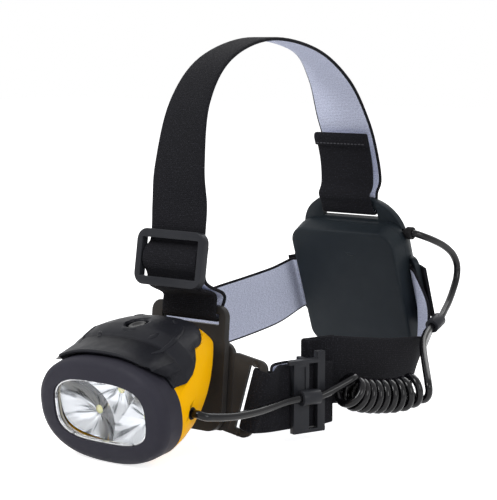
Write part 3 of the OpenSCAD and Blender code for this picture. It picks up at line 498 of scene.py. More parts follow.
@dataclass(frozen=True)
class Woven:
    """Elastic webbing with a dark face and a pale back, both edged with a dark selvedge.

    The piece's UV map runs across the strap in U, from 0 to 1 on the dark face and from 2 to 3
    on the pale one, and along it in V, in widths of the strap.

    Attributes:
        name: Material name.
        dark: Linear colour of the dark face.
        fleck: Colour of its flecks.
        pale: Colour of the pale back.
        shade: Colour between its ribs.
        ribs: Ribs in a strap's width along it.
        cords: Cords across it.
        selvedge: Share of the width that each selvedge takes.
    """

    name: str = "webbing"
    dark: Colour = tint(0.0075, 0.0075, 0.0095)
    fleck: Colour = tint(0.03, 0.03, 0.038)
    pale: Colour = tint(0.74, 0.78, 0.94)
    shade: Colour = tint(0.48, 0.51, 0.66)
    ribs: float = 36.0
    cords: float = 30.0
    selvedge: float = 0.034

    def material(self) -> bpy.types.Material:
        """Builds the weave: ribs across, elastic cords along, flecks and selvedges.

        Returns:
            The material.
        """
        made = Shader(self.name)
        split = made.node("SeparateXYZ")
        made.feed(split.inputs[0], made.node("UVMap", uv_map="weave").outputs[0])
        across, along = split.outputs[0], split.outputs[1]
        is_pale = made.math("GREATER_THAN", across, 1.5)
        u = made.math("SUBTRACT", across, made.math("MULTIPLY", is_pale, 2.0))
        from_middle = made.math("ABSOLUTE", made.math("SUBTRACT", u, 0.5))
        in_selvedge = made.math("GREATER_THAN", from_middle, 0.5 - self.selvedge)
        is_pale = made.math("MULTIPLY", is_pale, made.math("SUBTRACT", 1.0, in_selvedge))
        rib = made.math("SINE", made.math("MULTIPLY", along, math.tau * self.ribs))
        cord = made.math("SINE", made.math("MULTIPLY", u, math.tau * self.cords))
        weave = made.math("MULTIPLY_ADD", made.math("MULTIPLY", rib, cord), 0.25,
                          made.math("MULTIPLY_ADD", rib, 0.2, 0.5))
        stretched = made.node("CombineXYZ")
        made.feed(stretched.inputs[0], made.math("MULTIPLY", u, 60.0))
        made.feed(stretched.inputs[1], made.math("MULTIPLY", along, 40.0))
        specks = made.noise(1.0, 2, stretched.outputs[0])
        dark = made.blend(made.spread(specks, 0.55, 0.74), self.dark, self.fleck)
        pale = made.blend(made.spread(made.math("MULTIPLY_ADD", weave, -0.35, specks), 0.18, 0.42),
                          self.shade, self.pale)
        made.set(Base_Color=made.blend(is_pale, dark, pale), Roughness=0.86,
                 Specular_IOR_Level=0.12)
        made.bump(made.math("MULTIPLY_ADD", specks, 0.6, weave), 0.00022)
        return made.material


@dataclass(frozen=True)
class Foam:
    """Closed-cell foam behind a knitted face."""

    name: str = "foam"

    def material(self) -> bpy.types.Material:
        """Builds a dark foam with open pore hollows, each painted darker towards its middle as
        shade.

        Returns:
            The material.
        """
        made = Shader(self.name)
        cells = made.node("TexVoronoi")
        made.feed(cells.inputs["Vector"], made.place())
        cells.inputs["Scale"].default_value = 1400
        # Painted shade: each pore's colour darkens towards its deepest middle, the same mask that
        # sinks it in the bump
        pore_depth_and_shade = made.spread(cells.outputs["Distance"], 0.1, 0.6)
        made.set(Base_Color=made.blend(pore_depth_and_shade, tint(0.012, 0.012, 0.014), tint(0.035, 0.035, 0.04)),
                 Roughness=0.92)
        made.bump(pore_depth_and_shade, 0.0002)
        return made.material


@dataclass(frozen=True)
class Backdrop:
    """Plain white floor that takes a soft shadow and shows as white behind glass and metal.

    Attributes:
        name: Material name.
        own_light: Strength of its own light.
    """

    name: str = "backdrop"
    own_light: float = 0.8

    def material(self) -> bpy.types.Material:
        """Builds a white surface whose own light is seen but doesn't fall on the object.

        Returns:
            The material.
        """
        made = Shader(self.name)
        made.set(Base_Color=tint(0.85, 0.85, 0.86), Roughness=0.9, Specular_IOR_Level=0.0,
                 Emission_Color=tint(1.0, 1.0, 1.0),
                 Emission_Strength=made.math("MULTIPLY", made.seen(), self.own_light))
        return made.material


class Paint:
    """The finishes of the lamp, each built once."""

    soft_touch = Moulded("soft_touch_rubber", tint(0.027, 0.026, 0.036), tint(0.034, 0.033, 0.045),
                         roughness=0.56, grain=0.00003, grain_scale=3000)
    cover_rubber = Moulded("cover_rubber", tint(0.011, 0.0115, 0.015), tint(0.017, 0.0175, 0.023),
                           roughness=0.42, grain=0.00003)
    seal = Moulded("seal_rubber", tint(0.01, 0.01, 0.011), tint(0.02, 0.02, 0.022), roughness=0.6)
    gloss = Moulded("gloss_button", tint(0.004, 0.004, 0.005), tint(0.006, 0.006, 0.008),
                    roughness=0.14, grain=0.000004, grain_scale=900, coat=0.25)
    yellow = Moulded("yellow_housing", tint(1.0, 0.51, 0.0), tint(1.0, 0.47, 0.0),
                     roughness=0.42, grain=0.00001, grain_scale=2200, specular=0.05)
    bracket = Moulded("bracket_plastic", tint(0.03, 0.028, 0.027), tint(0.055, 0.05, 0.045),
                      roughness=0.45, grain_scale=1800)
    slider = Moulded("slider_plastic", tint(0.02, 0.021, 0.025), tint(0.036, 0.037, 0.042),
                     roughness=0.34, grain=0.00002, grain_scale=2200)
    box = Moulded("box_plastic", tint(0.0135, 0.018, 0.0225), tint(0.02, 0.026, 0.031),
                  roughness=0.44, grain=0.00005, grain_scale=2000)
    lead = Moulded("lead_sheath", tint(0.004, 0.004, 0.005), tint(0.008, 0.008, 0.0095),
                   roughness=0.2, grain=0.000006, grain_scale=700, coat=0.12, specular=0.2)
    board = Moulded("board_laminate", tint(0.01, 0.09, 0.04), tint(0.02, 0.12, 0.05), roughness=0.3)
    nylon = Moulded("nylon", tint(0.62, 0.58, 0.48), tint(0.7, 0.66, 0.56), roughness=0.4)
    steel = Metal("steel", tint(0.55, 0.56, 0.58), 0.28, 0.6)
    aluminium = Metal("aluminium", tint(0.72, 0.73, 0.75), 0.35, 0.8)
    mirror = Mirrored()
    lens = ClearPlastic()
    led = Speckled("led_dome", (tint(0.86, 0.82, 0.36), tint(0.95, 0.93, 0.62)), (1500, 2),
                   (0.4, 0.7),
                   {"Roughness": 0.12, "Coat_Weight": 0.8, "Coat_Roughness": 0.04,
                    "Subsurface_Weight": 0.2, "Subsurface_Scale": 0.001})
    web = Woven()
    thread = Speckled("thread", (tint(0.018, 0.018, 0.022), tint(0.05, 0.05, 0.06)), (2500, 1),
                      (0.0, 1.0), {"Roughness": 0.7}, (4000, 0.00005))
    foam = Foam()
    cell = Speckled("cell_sleeve", (tint(0.42, 0.2, 0.03), tint(0.5, 0.26, 0.05)), (90, 2),
                    (0.3, 0.7), {"Metallic": 0.7, "Roughness": 0.3, "Coat_Weight": 0.4},
                    (1200, 0.00001))
    backdrop = Backdrop()

    _built: dict[str, bpy.types.Material] = {}

    @classmethod
    def on(cls, piece: Piece, finish: object) -> None:
        """Gives a piece one finish all over.

        Args:
            piece: The piece to dress.
            finish: One of this class's finishes.
        """
        if finish.name not in cls._built:
            cls._built[finish.name] = finish.material()
        piece.data.materials.clear()
        piece.data.materials.append(cls._built[finish.name])


# ---------- modelling helpers ----------


def deselect_all() -> None:
    """Leaves no object selected or active."""
    for thing in bpy.context.selected_objects:
        thing.select_set(False)
    bpy.context.view_layer.objects.active = None


def take(piece: Piece) -> None:
    """Selects one object alone and makes it active.

    Args:
        piece: The object.
    """
    deselect_all()
    piece.select_set(True)
    bpy.context.view_layer.objects.active = piece


class Editing:
    """Edit mode on one piece, for a with statement."""

    def __init__(self, piece: Piece) -> None:
        """Takes the piece to edit."""
        self.piece = piece

    def __enter__(self) -> "Editing":
        """Enters edit mode with nothing selected.

        Returns:
            This object.
        """
        take(self.piece)
        bpy.ops.object.mode_set(mode="EDIT")
        bpy.ops.mesh.select_all(action="DESELECT")
        return self

    def __exit__(self, *problem: object) -> None:
        """Leaves edit mode."""
        bpy.ops.object.mode_set(mode="OBJECT")

    def pick(self, test: Callable[[bmesh.types.BMFace], bool]) -> None:
        """Selects the faces that pass a test, and no others.

        Args:
            test: Takes a face and says whether it is wanted.
        """
        bpy.ops.mesh.select_mode(type="FACE")
        mesh = bmesh.from_edit_mesh(self.piece.data)
        for face in mesh.faces:
            face.select_set(test(face))
        mesh.select_flush_mode()
        bmesh.update_edit_mesh(self.piece.data)


def apply_all(piece: Piece) -> None:
    """Applies every modifier of a piece, in order.

    Args:
        piece: The piece.
    """
    take(piece)
    for modifier in list(piece.modifiers):
        bpy.ops.object.modifier_apply(modifier=modifier.name)


def soften(piece: Piece, width: float, segments: int = 2, angle: float = 32) -> None:
    """Rounds a piece's sharp edges and smooths its shading.

    Args:
        piece: The piece.
        width: Width of the rounding in metres, 0 for none.
        segments: Steps across the rounding.
        angle: Edges sharper than this, in degrees, are rounded.
    """
    if width:
        bevel = piece.modifiers.new("edge", "BEVEL")
        bevel.width = width
        bevel.segments = segments
        bevel.limit_method = "ANGLE"
        bevel.angle_limit = math.radians(angle)
        bevel.harden_normals = False
        apply_all(piece)
    take(piece)
    bpy.ops.object.shade_smooth_by_angle(angle=math.radians(angle))


def settle(piece: Piece, place: Matrix) -> Piece:
    """Moves a piece built in a sub-assembly's millimetres to its place in metres.

    Args:
        piece: The piece, whose own transform is applied too.
        place: The sub-assembly's frame, in millimetres.

    Returns:
        The piece, with its object at the origin.
    """
    matrix = Matrix.Scale(MM, 4) @ place @ piece.matrix_basis
    piece.data.transform(matrix)
    if matrix.determinant() < 0:
        piece.data.flip_normals()
    piece.matrix_basis = Matrix.Identity(4)
    return piece


def add(name: str, data: bpy.types.ID) -> Piece:
    """Adds an object to the scene.

    Args:
        name: Its name.
        data: Its mesh, camera or light.

    Returns:
        The object.
    """
    piece = bpy.data.objects.new(name, data)
    bpy.context.scene.collection.objects.link(piece)
    return piece


def mesh_piece(name: str, points: Sequence[Vector], faces: Sequence[Sequence[int]]) -> Piece:
    """Makes an object from points and faces.

    Args:
        name: The piece's name.
        points: Corner points.
        faces: Corner numbers of each face.

    Returns:
        The new object, linked to the scene.
    """
    mesh = bpy.data.meshes.new(name)
    mesh.from_pydata([tuple(p) for p in points], [], faces)
    mesh.update()
    return add(name, mesh)


def face_outwards(piece: Piece) -> None:
    """Turns all faces of a closed piece outwards.

    Args:
        piece: The piece.
    """
    with Editing(piece):
        bpy.ops.mesh.select_all(action="SELECT")
        bpy.ops.mesh.normals_make_consistent(inside=False)


def skinned(name: str, rings: Sequence[Sequence[Vector]]) -> Piece:
    """Makes a closed skin through rings of points, with flat ends.

    Args:
        name: The piece's name.
        rings: The rings in order, each with as many points.

    Returns:
        The skin, in the units of its points.
    """
    count, last = len(rings[0]), len(rings) - 1
    faces = [[i * count + k, (i + 1) * count + k, (i + 1) * count + (k + 1) % count,
              i * count + (k + 1) % count] for i in range(last) for k in range(count)]
    faces.append(list(range(count)))
    faces.append([last * count + k for k in reversed(range(count))])
    piece = mesh_piece(name, [p for ring in rings for p in ring], faces)
    face_outwards(piece)
    return piece


def join(name: str, pieces: Sequence[Piece]) -> Piece:
    """Joins pieces into one.

    Args:
        name: Name of the result.
        pieces: The pieces, the first of which keeps its materials.

    Returns:
        The joined piece.
    """
    take(pieces[0])
    for piece in pieces:
        piece.select_set(True)
    bpy.ops.object.join()
    pieces[0].name = name
    pieces[0].data.name = name
    return pieces[0]


def hand_in(piece: Piece, body: Body, finish: object, slot: str,
            *nodes: str) -> None:
    """Dresses a finished piece and lets it ride on its body.

    Args:
        piece: The piece.
        body: The body that carries it.
        finish: Its finish.
        slot: The record's material slot; not used.
        *nodes: CAD nodes that it stands for.
    """
    Paint.on(piece, finish)
    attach(piece, body.value)
    if nodes:
        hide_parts(*nodes)
    LOG.info("%s: %d faces, on %s", piece.name, len(piece.data.polygons), body.value)


def refined(node: str, width_mm: float, angle: float, segments: int = 2) -> Piece:
    """Copies a CAD node's mesh, merges it and rounds its edges.

    Args:
        node: The node's name.
        width_mm: Width of the edge rounding in millimetres.
        angle: Edges sharper than this, in degrees, are rounded.
        segments: Steps across the rounding.

    Returns:
        The copy, named for the node.
    """
    piece = add(node + "_finished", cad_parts[node].data.copy())
    with Editing(piece):
        bpy.ops.mesh.select_all(action="SELECT")
        bpy.ops.mesh.remove_doubles(threshold=MERGE * MM)
        bpy.ops.mesh.dissolve_limited(angle_limit=math.radians(1.0))
    soften(piece, width_mm * MM, segments, angle)
    return piece


def rework(node: str, body: Body, finish: object, slot: str, width_mm: float, angle: float,
           segments: int = 2) -> None:
    """Refines a CAD node's mesh and hands it in in the node's place.

    Args:
        node: The node's name.
        body: The body that carries it.
        finish: Its finish.
        slot: The record's material slot.
        width_mm: Width of the edge rounding in millimetres.
        angle: Edges sharper than this, in degrees, are rounded.
        segments: Steps across the rounding.
    """
    hand_in(refined(node, width_mm, angle, segments), body, finish, slot, node)


def smooth(points: Sequence[Vector], steps: int) -> list[Vector]:
    """The smooth curve through the given points.

    Args:
        points: Points of any dimension.
        steps: Steps between neighbours.

    Returns:
        The points of the curve.
    """
    last = len(points) - 1
    made = []
    for i in range(last):
        a, b = points[max(i - 1, 0)], points[i]
        c, d = points[i + 1], points[min(i + 2, last)]
        for k in range(steps):
            t = k / steps
            made.append(0.5 * (2 * b + (c - a) * t + (2 * a - 5 * b + 4 * c - d) * t * t
                               + (3 * b - a - 3 * c + d) * t ** 3))
    made.append(points[last].copy())
    return made


def directions(points: Sequence[Vector]) -> list[Vector]:
    """The direction of a curve at each of its points."""
    last = len(points) - 1
    return [(points[min(i + 1, last)] - points[max(i - 1, 0)]).normalized()
            for i in range(last + 1)]


# Half of a strap's cross-section: place across it and share of its half thickness
SELVEDGES = ((0.0, 0.3), (0.012, 0.78), (0.035, 1.0), (0.25, 1.0), (0.5, 1.0), (0.75, 1.0),
             (0.965, 1.0), (0.988, 0.78), (1.0, 0.3))


@dataclass
class Row:
    """One station of a strap's route, in millimetres.

    Attributes:
        point: Middle of the strap.
        up: Direction across it.
        width: Its width.
    """

    point: Vector
    up: Vector
    width: float


def row(place: Matrix, at: Sequence[float], up: Sequence[float] = (0, 0, 1),
        width: float = WEB_W, framed: bool = True) -> Row:
    """A station of a strap's route, given in a frame of its own.

    Args:
        place: The frame.
        at: The point in that frame.
        up: The direction across the strap.
        width: The strap's width there.
        framed: Whether the direction is given in the frame too, or in the lamp's.

    Returns:
        The station in the lamp's frame.
    """
    across = place.to_3x3() @ Vector(up) if framed else Vector(up)
    return Row(place @ Vector(at), across, width)


def flat(place: Matrix, at: Sequence[tuple[float, float]], width: float,
         z: float = 0.0) -> list[Row]:
    """Stations at places in a frame's XY plane, with the strap's width along Z."""
    return [row(place, (x, y, z), width=width) for x, y in at]


def bend(x: float, y: float, radius: float, start: float, end: float) -> list[tuple[float, float]]:
    """Five places round a bar, from one angle in degrees to another."""
    angles = [math.radians(start + (end - start) * k / 4) for k in range(5)]
    return [(x + radius * math.cos(a), y + radius * math.sin(a)) for a in angles]


def strap(name: str, rows: Sequence[Row], dark: Face, steps: int = 8) -> Piece:
    """Makes a woven strap along a route, with rounded selvedges and a UV map for its weave.

    Args:
        name: The piece's name.
        rows: Stations of the route.
        dark: Its dark face.
        steps: Rings between neighbouring stations.

    Returns:
        The strap, in metres.
    """
    points = smooth([r.point for r in rows], steps)
    ups = smooth([r.up for r in rows], steps)
    widths = [v[0] for v in smooth([Vector((r.width, 0, 0)) for r in rows], steps)]
    corners = ([(u, share, 1) for u, share in SELVEDGES]
               + [(u, share, -1) for u, share in reversed(SELVEDGES)])
    count, side = len(corners), len(SELVEDGES)
    rings, lengths = [], []
    run = 0.0
    for i, (point, heading) in enumerate(zip(points, directions(points))):
        across = ups[i].normalized()
        normal = heading.cross(across).normalized()
        run += (point - points[i - 1]).length if i else 0.0
        lengths.append(run / WEB_W)
        rings.append([(point + across * (u - 0.5) * widths[i]
                       + normal * facing * share * WEB_T / 2) * MM
                      for u, share, facing in corners])
    piece = skinned(name, rings)
    layer = piece.data.uv_layers.new(name="weave")
    for face in piece.data.polygons:
        columns = sorted({v % count for v in face.vertices})
        first = columns[0] if len(columns) == 2 and columns[1] - columns[0] == 1 else count - 1
        is_edge = first in (side - 1, count - 1)
        is_dark = is_edge or (first < side) == (dark is Face.RIGHT)
        for corner, vertex in zip(face.loop_indices, face.vertices):
            u = 0.01 if is_edge else corners[vertex % count][0]
            layer.data[corner].uv = (u if is_dark else 2 + u, lengths[vertex // count])
    soften(piece, 0, angle=50)
    return piece


def tube(name: str, points: Sequence[Vector], diameter: float, sides: int) -> Piece:
    """Makes a round tube with flat ends along a path, without twisting.

    Args:
        name: The piece's name.
        points: The path, in metres.
        diameter: Its diameter in metres.
        sides: Faces round it.

    Returns:
        The tube.
    """
    headings = directions(points)
    side = headings[0].orthogonal().normalized()
    rings = []
    for point, heading in zip(points, headings):
        side = (side - heading * side.dot(heading)).normalized()
        other = heading.cross(side)
        rings.append([point + diameter / 2 * (side * math.cos(math.tau * k / sides)
                                              + other * math.sin(math.tau * k / sides))
                      for k in range(sides)])
    piece = skinned(name, rings)
    soften(piece, 0, angle=60)
    return piece


def stitches(name: str, ends: Sequence[tuple[Vector, Vector]], normal: Vector) -> Piece:
    """Makes rows of stitches that lie on a surface.

    Args:
        name: The piece's name.
        ends: First and last point of each row, in millimetres.
        normal: Which way the surface faces.

    Returns:
        All the stitches as one mesh, in metres.
    """
    pitch, wide, tall = 2.0, 0.62, 0.5
    made = []
    for start, end in ends:
        count = max(2, round((end - start).length / pitch))
        heading = (end - start).normalized()
        frame_of = Matrix((heading, normal.cross(heading), normal)).transposed().to_4x4()
        for k in range(count):
            deselect_all()
            bpy.ops.mesh.primitive_uv_sphere_add(segments=6, ring_count=4, radius=0.5)
            stitch = bpy.context.object
            stitch.matrix_basis = (Matrix.Translation(start + (end - start) * (k + 0.5) / count)
                                   @ frame_of @ Matrix.Diagonal((pitch * 0.84, wide, tall, 1)))
            settle(stitch, Matrix.Identity(4))
            made.append(stitch)
    piece = join(name, made)
    take(piece)
    bpy.ops.object.shade_smooth()
    return piece


def turned(name: str, profile: Sequence[tuple[float, float]], steps: int) -> Piece:
    """Spins a profile round the Z axis.

    Args:
        name: The piece's name.
        profile: Radius and height of each point, from the axis back to the axis, or round the
            closed section of a ring.
        steps: Faces round it.

    Returns:
        The closed piece, in the units of the profile.
    """
    mesh = bpy.data.meshes.new(name)
    mesh.from_pydata([(r, 0, z) for r, z in profile],
                     [(i, i + 1) for i in range(len(profile) - 1)], [])
    piece = add(name, mesh)
    with Editing(piece):
        bpy.ops.mesh.select_all(action="SELECT")
        bpy.ops.mesh.spin(steps=steps, angle=math.tau, center=(0, 0, 0), axis=(0, 0, 1))
        bpy.ops.mesh.select_all(action="SELECT")
        bpy.ops.mesh.remove_doubles(threshold=0.002)
    face_outwards(piece)
    return piece


def capped(name: str, first: Vector, rings: Sequence[Sequence[Vector]], last: Vector) -> Piece:
    """Makes a closed skin that opens from one point through rings and closes at another.

    Args:
        name: The piece's name.
        first: Middle of the face that looks along -Y.
        rings: The rings in order, each going round from +X to +Z.
        last: Middle of the face at the other end.

    Returns:
        The skin, in millimetres.
    """
    sides = len(rings[0])
    points = [first] + [point for ring in rings for point in ring] + [last]
    end = len(points) - 1
    faces = []
    for k in range(sides):
        follow = (k + 1) % sides
        faces.append((0, 1 + k, 1 + follow))
        for j in range(len(rings) - 1):
            near, far = 1 + j * sides, 1 + (j + 1) * sides
            faces.append((near + k, far + k, far + follow, near + follow))
        faces.append((end, end - sides + follow, end - sides + k))
    return mesh_piece(name, points, faces)


def squared(half_w: float, half_h: float, exponent: float,
            angle: float) -> tuple[float, float]:
    """Finds a point of a squared-off ellipse.

    Args:
        half_w: Half width of the ellipse.
        half_h: Half height of the ellipse.
        exponent: How squared-off it is.
        angle: The angle of the point, in radians.

    Returns:
        Its place across and up.
    """
    c, s = math.cos(angle), math.sin(angle)
    return (math.copysign(half_w * abs(c) ** (2 / exponent), c),
            math.copysign(half_h * abs(s) ** (2 / exponent), s))


def squared_trim(name: str, half_w: float, half_h: float, exponent: float,
                 steps: Sequence[tuple[float, float]]) -> Piece:
    """Makes a band that follows a squared-off ellipse in the XZ plane.

    Args:
        name: The piece's name.
        half_w: Half width of the ellipse.
        half_h: Half height of the ellipse.
        exponent: How squared-off it is.
        steps: Inset from the ellipse and place along Y of each edge of the section, in order.

    Returns:
        The closed band, in millimetres.
    """
    deselect_all()
    bpy.ops.mesh.primitive_circle_add(vertices=144, radius=1)
    piece = bpy.context.object
    piece.name = name
    piece.data.name = name
    for vertex in piece.data.vertices:
        x, z = squared(half_w, half_h, exponent, math.atan2(vertex.co.y, vertex.co.x))
        vertex.co = (x, 0, z)
    with Editing(piece):
        bpy.ops.mesh.select_all(action="SELECT")
        inset, y = 0.0, 0.0
        for k, (next_inset, next_y) in enumerate(steps):
            if k:
                bpy.ops.mesh.extrude_region_move()
            bpy.ops.transform.resize(value=((half_w - next_inset) / (half_w - inset), 1,
                                            (half_h - next_inset) / (half_h - inset)))
            bpy.ops.transform.translate(value=(0, next_y - y, 0))
            inset, y = next_inset, next_y
        bpy.ops.mesh.select_all(action="DESELECT")
        bpy.ops.mesh.select_mode(type="EDGE")
        bpy.ops.mesh.select_non_manifold(use_wire=False, use_multi_face=False,
                                         use_non_contiguous=False, use_verts=False)
        bpy.ops.mesh.bridge_edge_loops()
        bpy.ops.mesh.select_mode(type="VERT")
    face_outwards(piece)
    return piece


def ridge(name: str, stations: Sequence[tuple[Vector, Vector]], width: float, height: float,
          taper: float) -> Piece:
    """Makes a soft raised line that lies on a surface and fades at both ends.

    Args:
        name: The piece's name.
        stations: Points of the line and the surface's direction at each, in millimetres.
        width: Its width.
        height: Its height over the surface.
        taper: How suddenly it ends, 0 for square ends.

    Returns:
        The ridge, in metres.
    """
    points = [p for p, _ in stations]
    last = len(points) - 1
    sides, buried = 10, 0.5
    rings = []
    for i, ((point, normal), heading) in enumerate(zip(stations, directions(points))):
        share = max(0.04, math.sin(math.pi * (i + 0.2) / (last + 0.4))) ** taper
        across = heading.cross(normal).normalized()
        ring = []
        for k in range(sides):
            angle = math.tau * k / sides
            rise = height if math.sin(angle) > 0 else buried
            ring.append((point + across * width / 2 * share * math.cos(angle)
                         + normal * rise * share * math.sin(angle)) * MM)
        rings.append(ring)
    piece = skinned(name, rings)
    take(piece)
    bpy.ops.object.shade_smooth()
    return piece


def laid_on(piece: Piece, place: Matrix,
            points: Sequence[tuple[float, float]]) -> list[tuple[Vector, Vector]]:
    """Drops points straight down onto a piece.

    Args:
        piece: The piece they land on, in metres.
        place: The frame whose Z axis they fall along.
        points: Their X and Y in that frame.

    Returns:
        Where each lands and the surface's direction there, in millimetres.
    """
    tree = BVHTree.FromPolygons([v.co / MM for v in piece.data.vertices],
                                [tuple(f.vertices) for f in piece.data.polygons])
    down = place.to_3x3() @ Vector((0, 0, -1))
    lift = 60.0
    landed = []
    for x, y in points:
        hit, normal, _, _ = tree.ray_cast(place @ Vector((x, y, lift)), down)
        if hit is not None:
            landed.append((hit, normal if normal.dot(down) < 0 else -normal))
    return landed


def dress(finish: object, *nodes: str) -> None:
    """Gives CAD nodes that stay as they are their finish.

    Args:
        finish: The finish.
        *nodes: Names of the nodes.
    """
    for node in nodes:
        Paint.on(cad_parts[node], finish)
        LOG.info("%s: kept, %s", node, finish.name)


# ---------- the lead ----------


@dataclass
class Lead:
    """The lead from the lamp head to the battery box, coiled at one side.

    Attributes:
        turns: Turns of the coil.
        per_turn: Points in each turn.
        radius: Radius of the coil's centre line.
        start: Angle at which the coil starts, in degrees from its outer side.
        outer: Direction of the outer side.
        crowding: How much closer the first turns lie than the last, from 0 for evenly.
        axis: Middle of the coil.
        front: Route from the lamp head to the coil.
        rear: Route from the coil to the clip.
        stub: Places along X at which the lead leaves the lamp head.
        upward: Route from the clip up to the battery box.
        gland: Route through the box's gland, in the box's frame.
        turning: Start and end of the length next to the lamp head, in metres; not used.
    """

    turns: float = 9.75
    per_turn: int = 22
    radius: float = 6.1
    start: float = 90.0
    outer: tuple = (0.61, -0.79, 0.0)
    crowding: float = 0.1
    axis: tuple = ((54.3, -18.6, -25.4), (55.8, -13.8, -28.2), (58.7, -6, -30.1),
                   (62, 2.5, -31), (64.3, 8.5, -31.1), (66.7, 15, -29.8), (68.1, 19.2, -28.6))
    front: tuple = ((38.8, -96.4, -26), (40, -93, -26.6), (41.2, -88, -27.3), (42.2, -80, -28.1),
                    (42.8, -68, -28.5), (43, -57, -28.2), (43.6, -48.5, -27.5))
    rear: tuple = ((57, 39, -15.5), (52, 49, -11.4))
    stub: tuple = (31, 33.3, 36)
    upward: tuple = ((47, 74, -3.4), (45, 81, -0.4), (43, 88, 4), (42, 93, 10),
                     (41.6, 93.8, 16), (41.4, 90, 21.5), (41, 83, 26), (40, 75, 29.4),
                     (38.2, 69.5, 31.6))
    gland: tuple = ((35.2, 4.7, 27.3), (32.2, 4.4, 27.5), (31, 4.4, 27.5))
    turning: tuple = ((0.0365, -0.0976, -0.0252), (0.0425, -0.070, -0.0285))

    def coil(self) -> list[Vector]:
        """Winds the coil round its bent axis.

        Returns:
            The points of the coil.
        """
        axis = smooth([Vector(p) for p in self.axis], 30)
        headings = directions(axis)
        run = [0.0]
        for a, b in zip(axis, axis[1:]):
            run.append(run[-1] + (b - a).length)
        count = round(self.turns * self.per_turn)
        made = []
        for k in range(count + 1):
            share = k / count
            at = run[-1] * ((1 - self.crowding) * share + self.crowding * share ** 4)
            i = min(max(j for j in range(len(run)) if run[j] <= at + 1e-9), len(run) - 2)
            t = (at - run[i]) / (run[i + 1] - run[i])
            point, heading = axis[i].lerp(axis[i + 1], t), headings[i].lerp(headings[i + 1], t)
            heading.normalize()
            out = Vector(self.outer)
            out = (out - heading * out.dot(heading)).normalized()
            angle = math.radians(self.start) + math.tau * self.turns * share
            made.append(point + self.radius * (out * math.cos(angle)
                                               + out.cross(heading) * math.sin(angle)))
        return made

    def route(self) -> list[Vector]:
        """Joins the stub, the front route, the coil and the rear route.

        Returns:
            The whole centre line, in metres.
        """
        coil = self.coil()
        front = ([LAMP @ Vector((x, 20, -2)) for x in self.stub]
                 + [Vector(p) for p in self.front]
                 + [SIDE_SLIDER @ Vector((x, -3.8, 0)) for x in (-7, 4)])
        rear = ([Vector(p) for p in self.rear]
                + [LEAD_CLIP @ Vector((0, 0, z)) for z in (-5, 5)]
                + [Vector(p) for p in self.upward]
                + [BOX @ Vector(p) for p in self.gland])
        before = smooth(front + [coil[0], coil[3]], 6)[:-7]
        after = smooth([coil[-4], coil[-1]] + rear, 6)[7:]
        return [p * MM for p in before + coil + after]

    def build(self) -> None:
        path = self.route()
        lead = tube("lead", path, LEAD_D * MM, 14)
        Paint.on(lead, Paint.lead)
        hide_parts("cord_stub", "cord_front", "cord_coil", "cord_rear")
        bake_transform(lead)


# ---------- the lamp head ----------


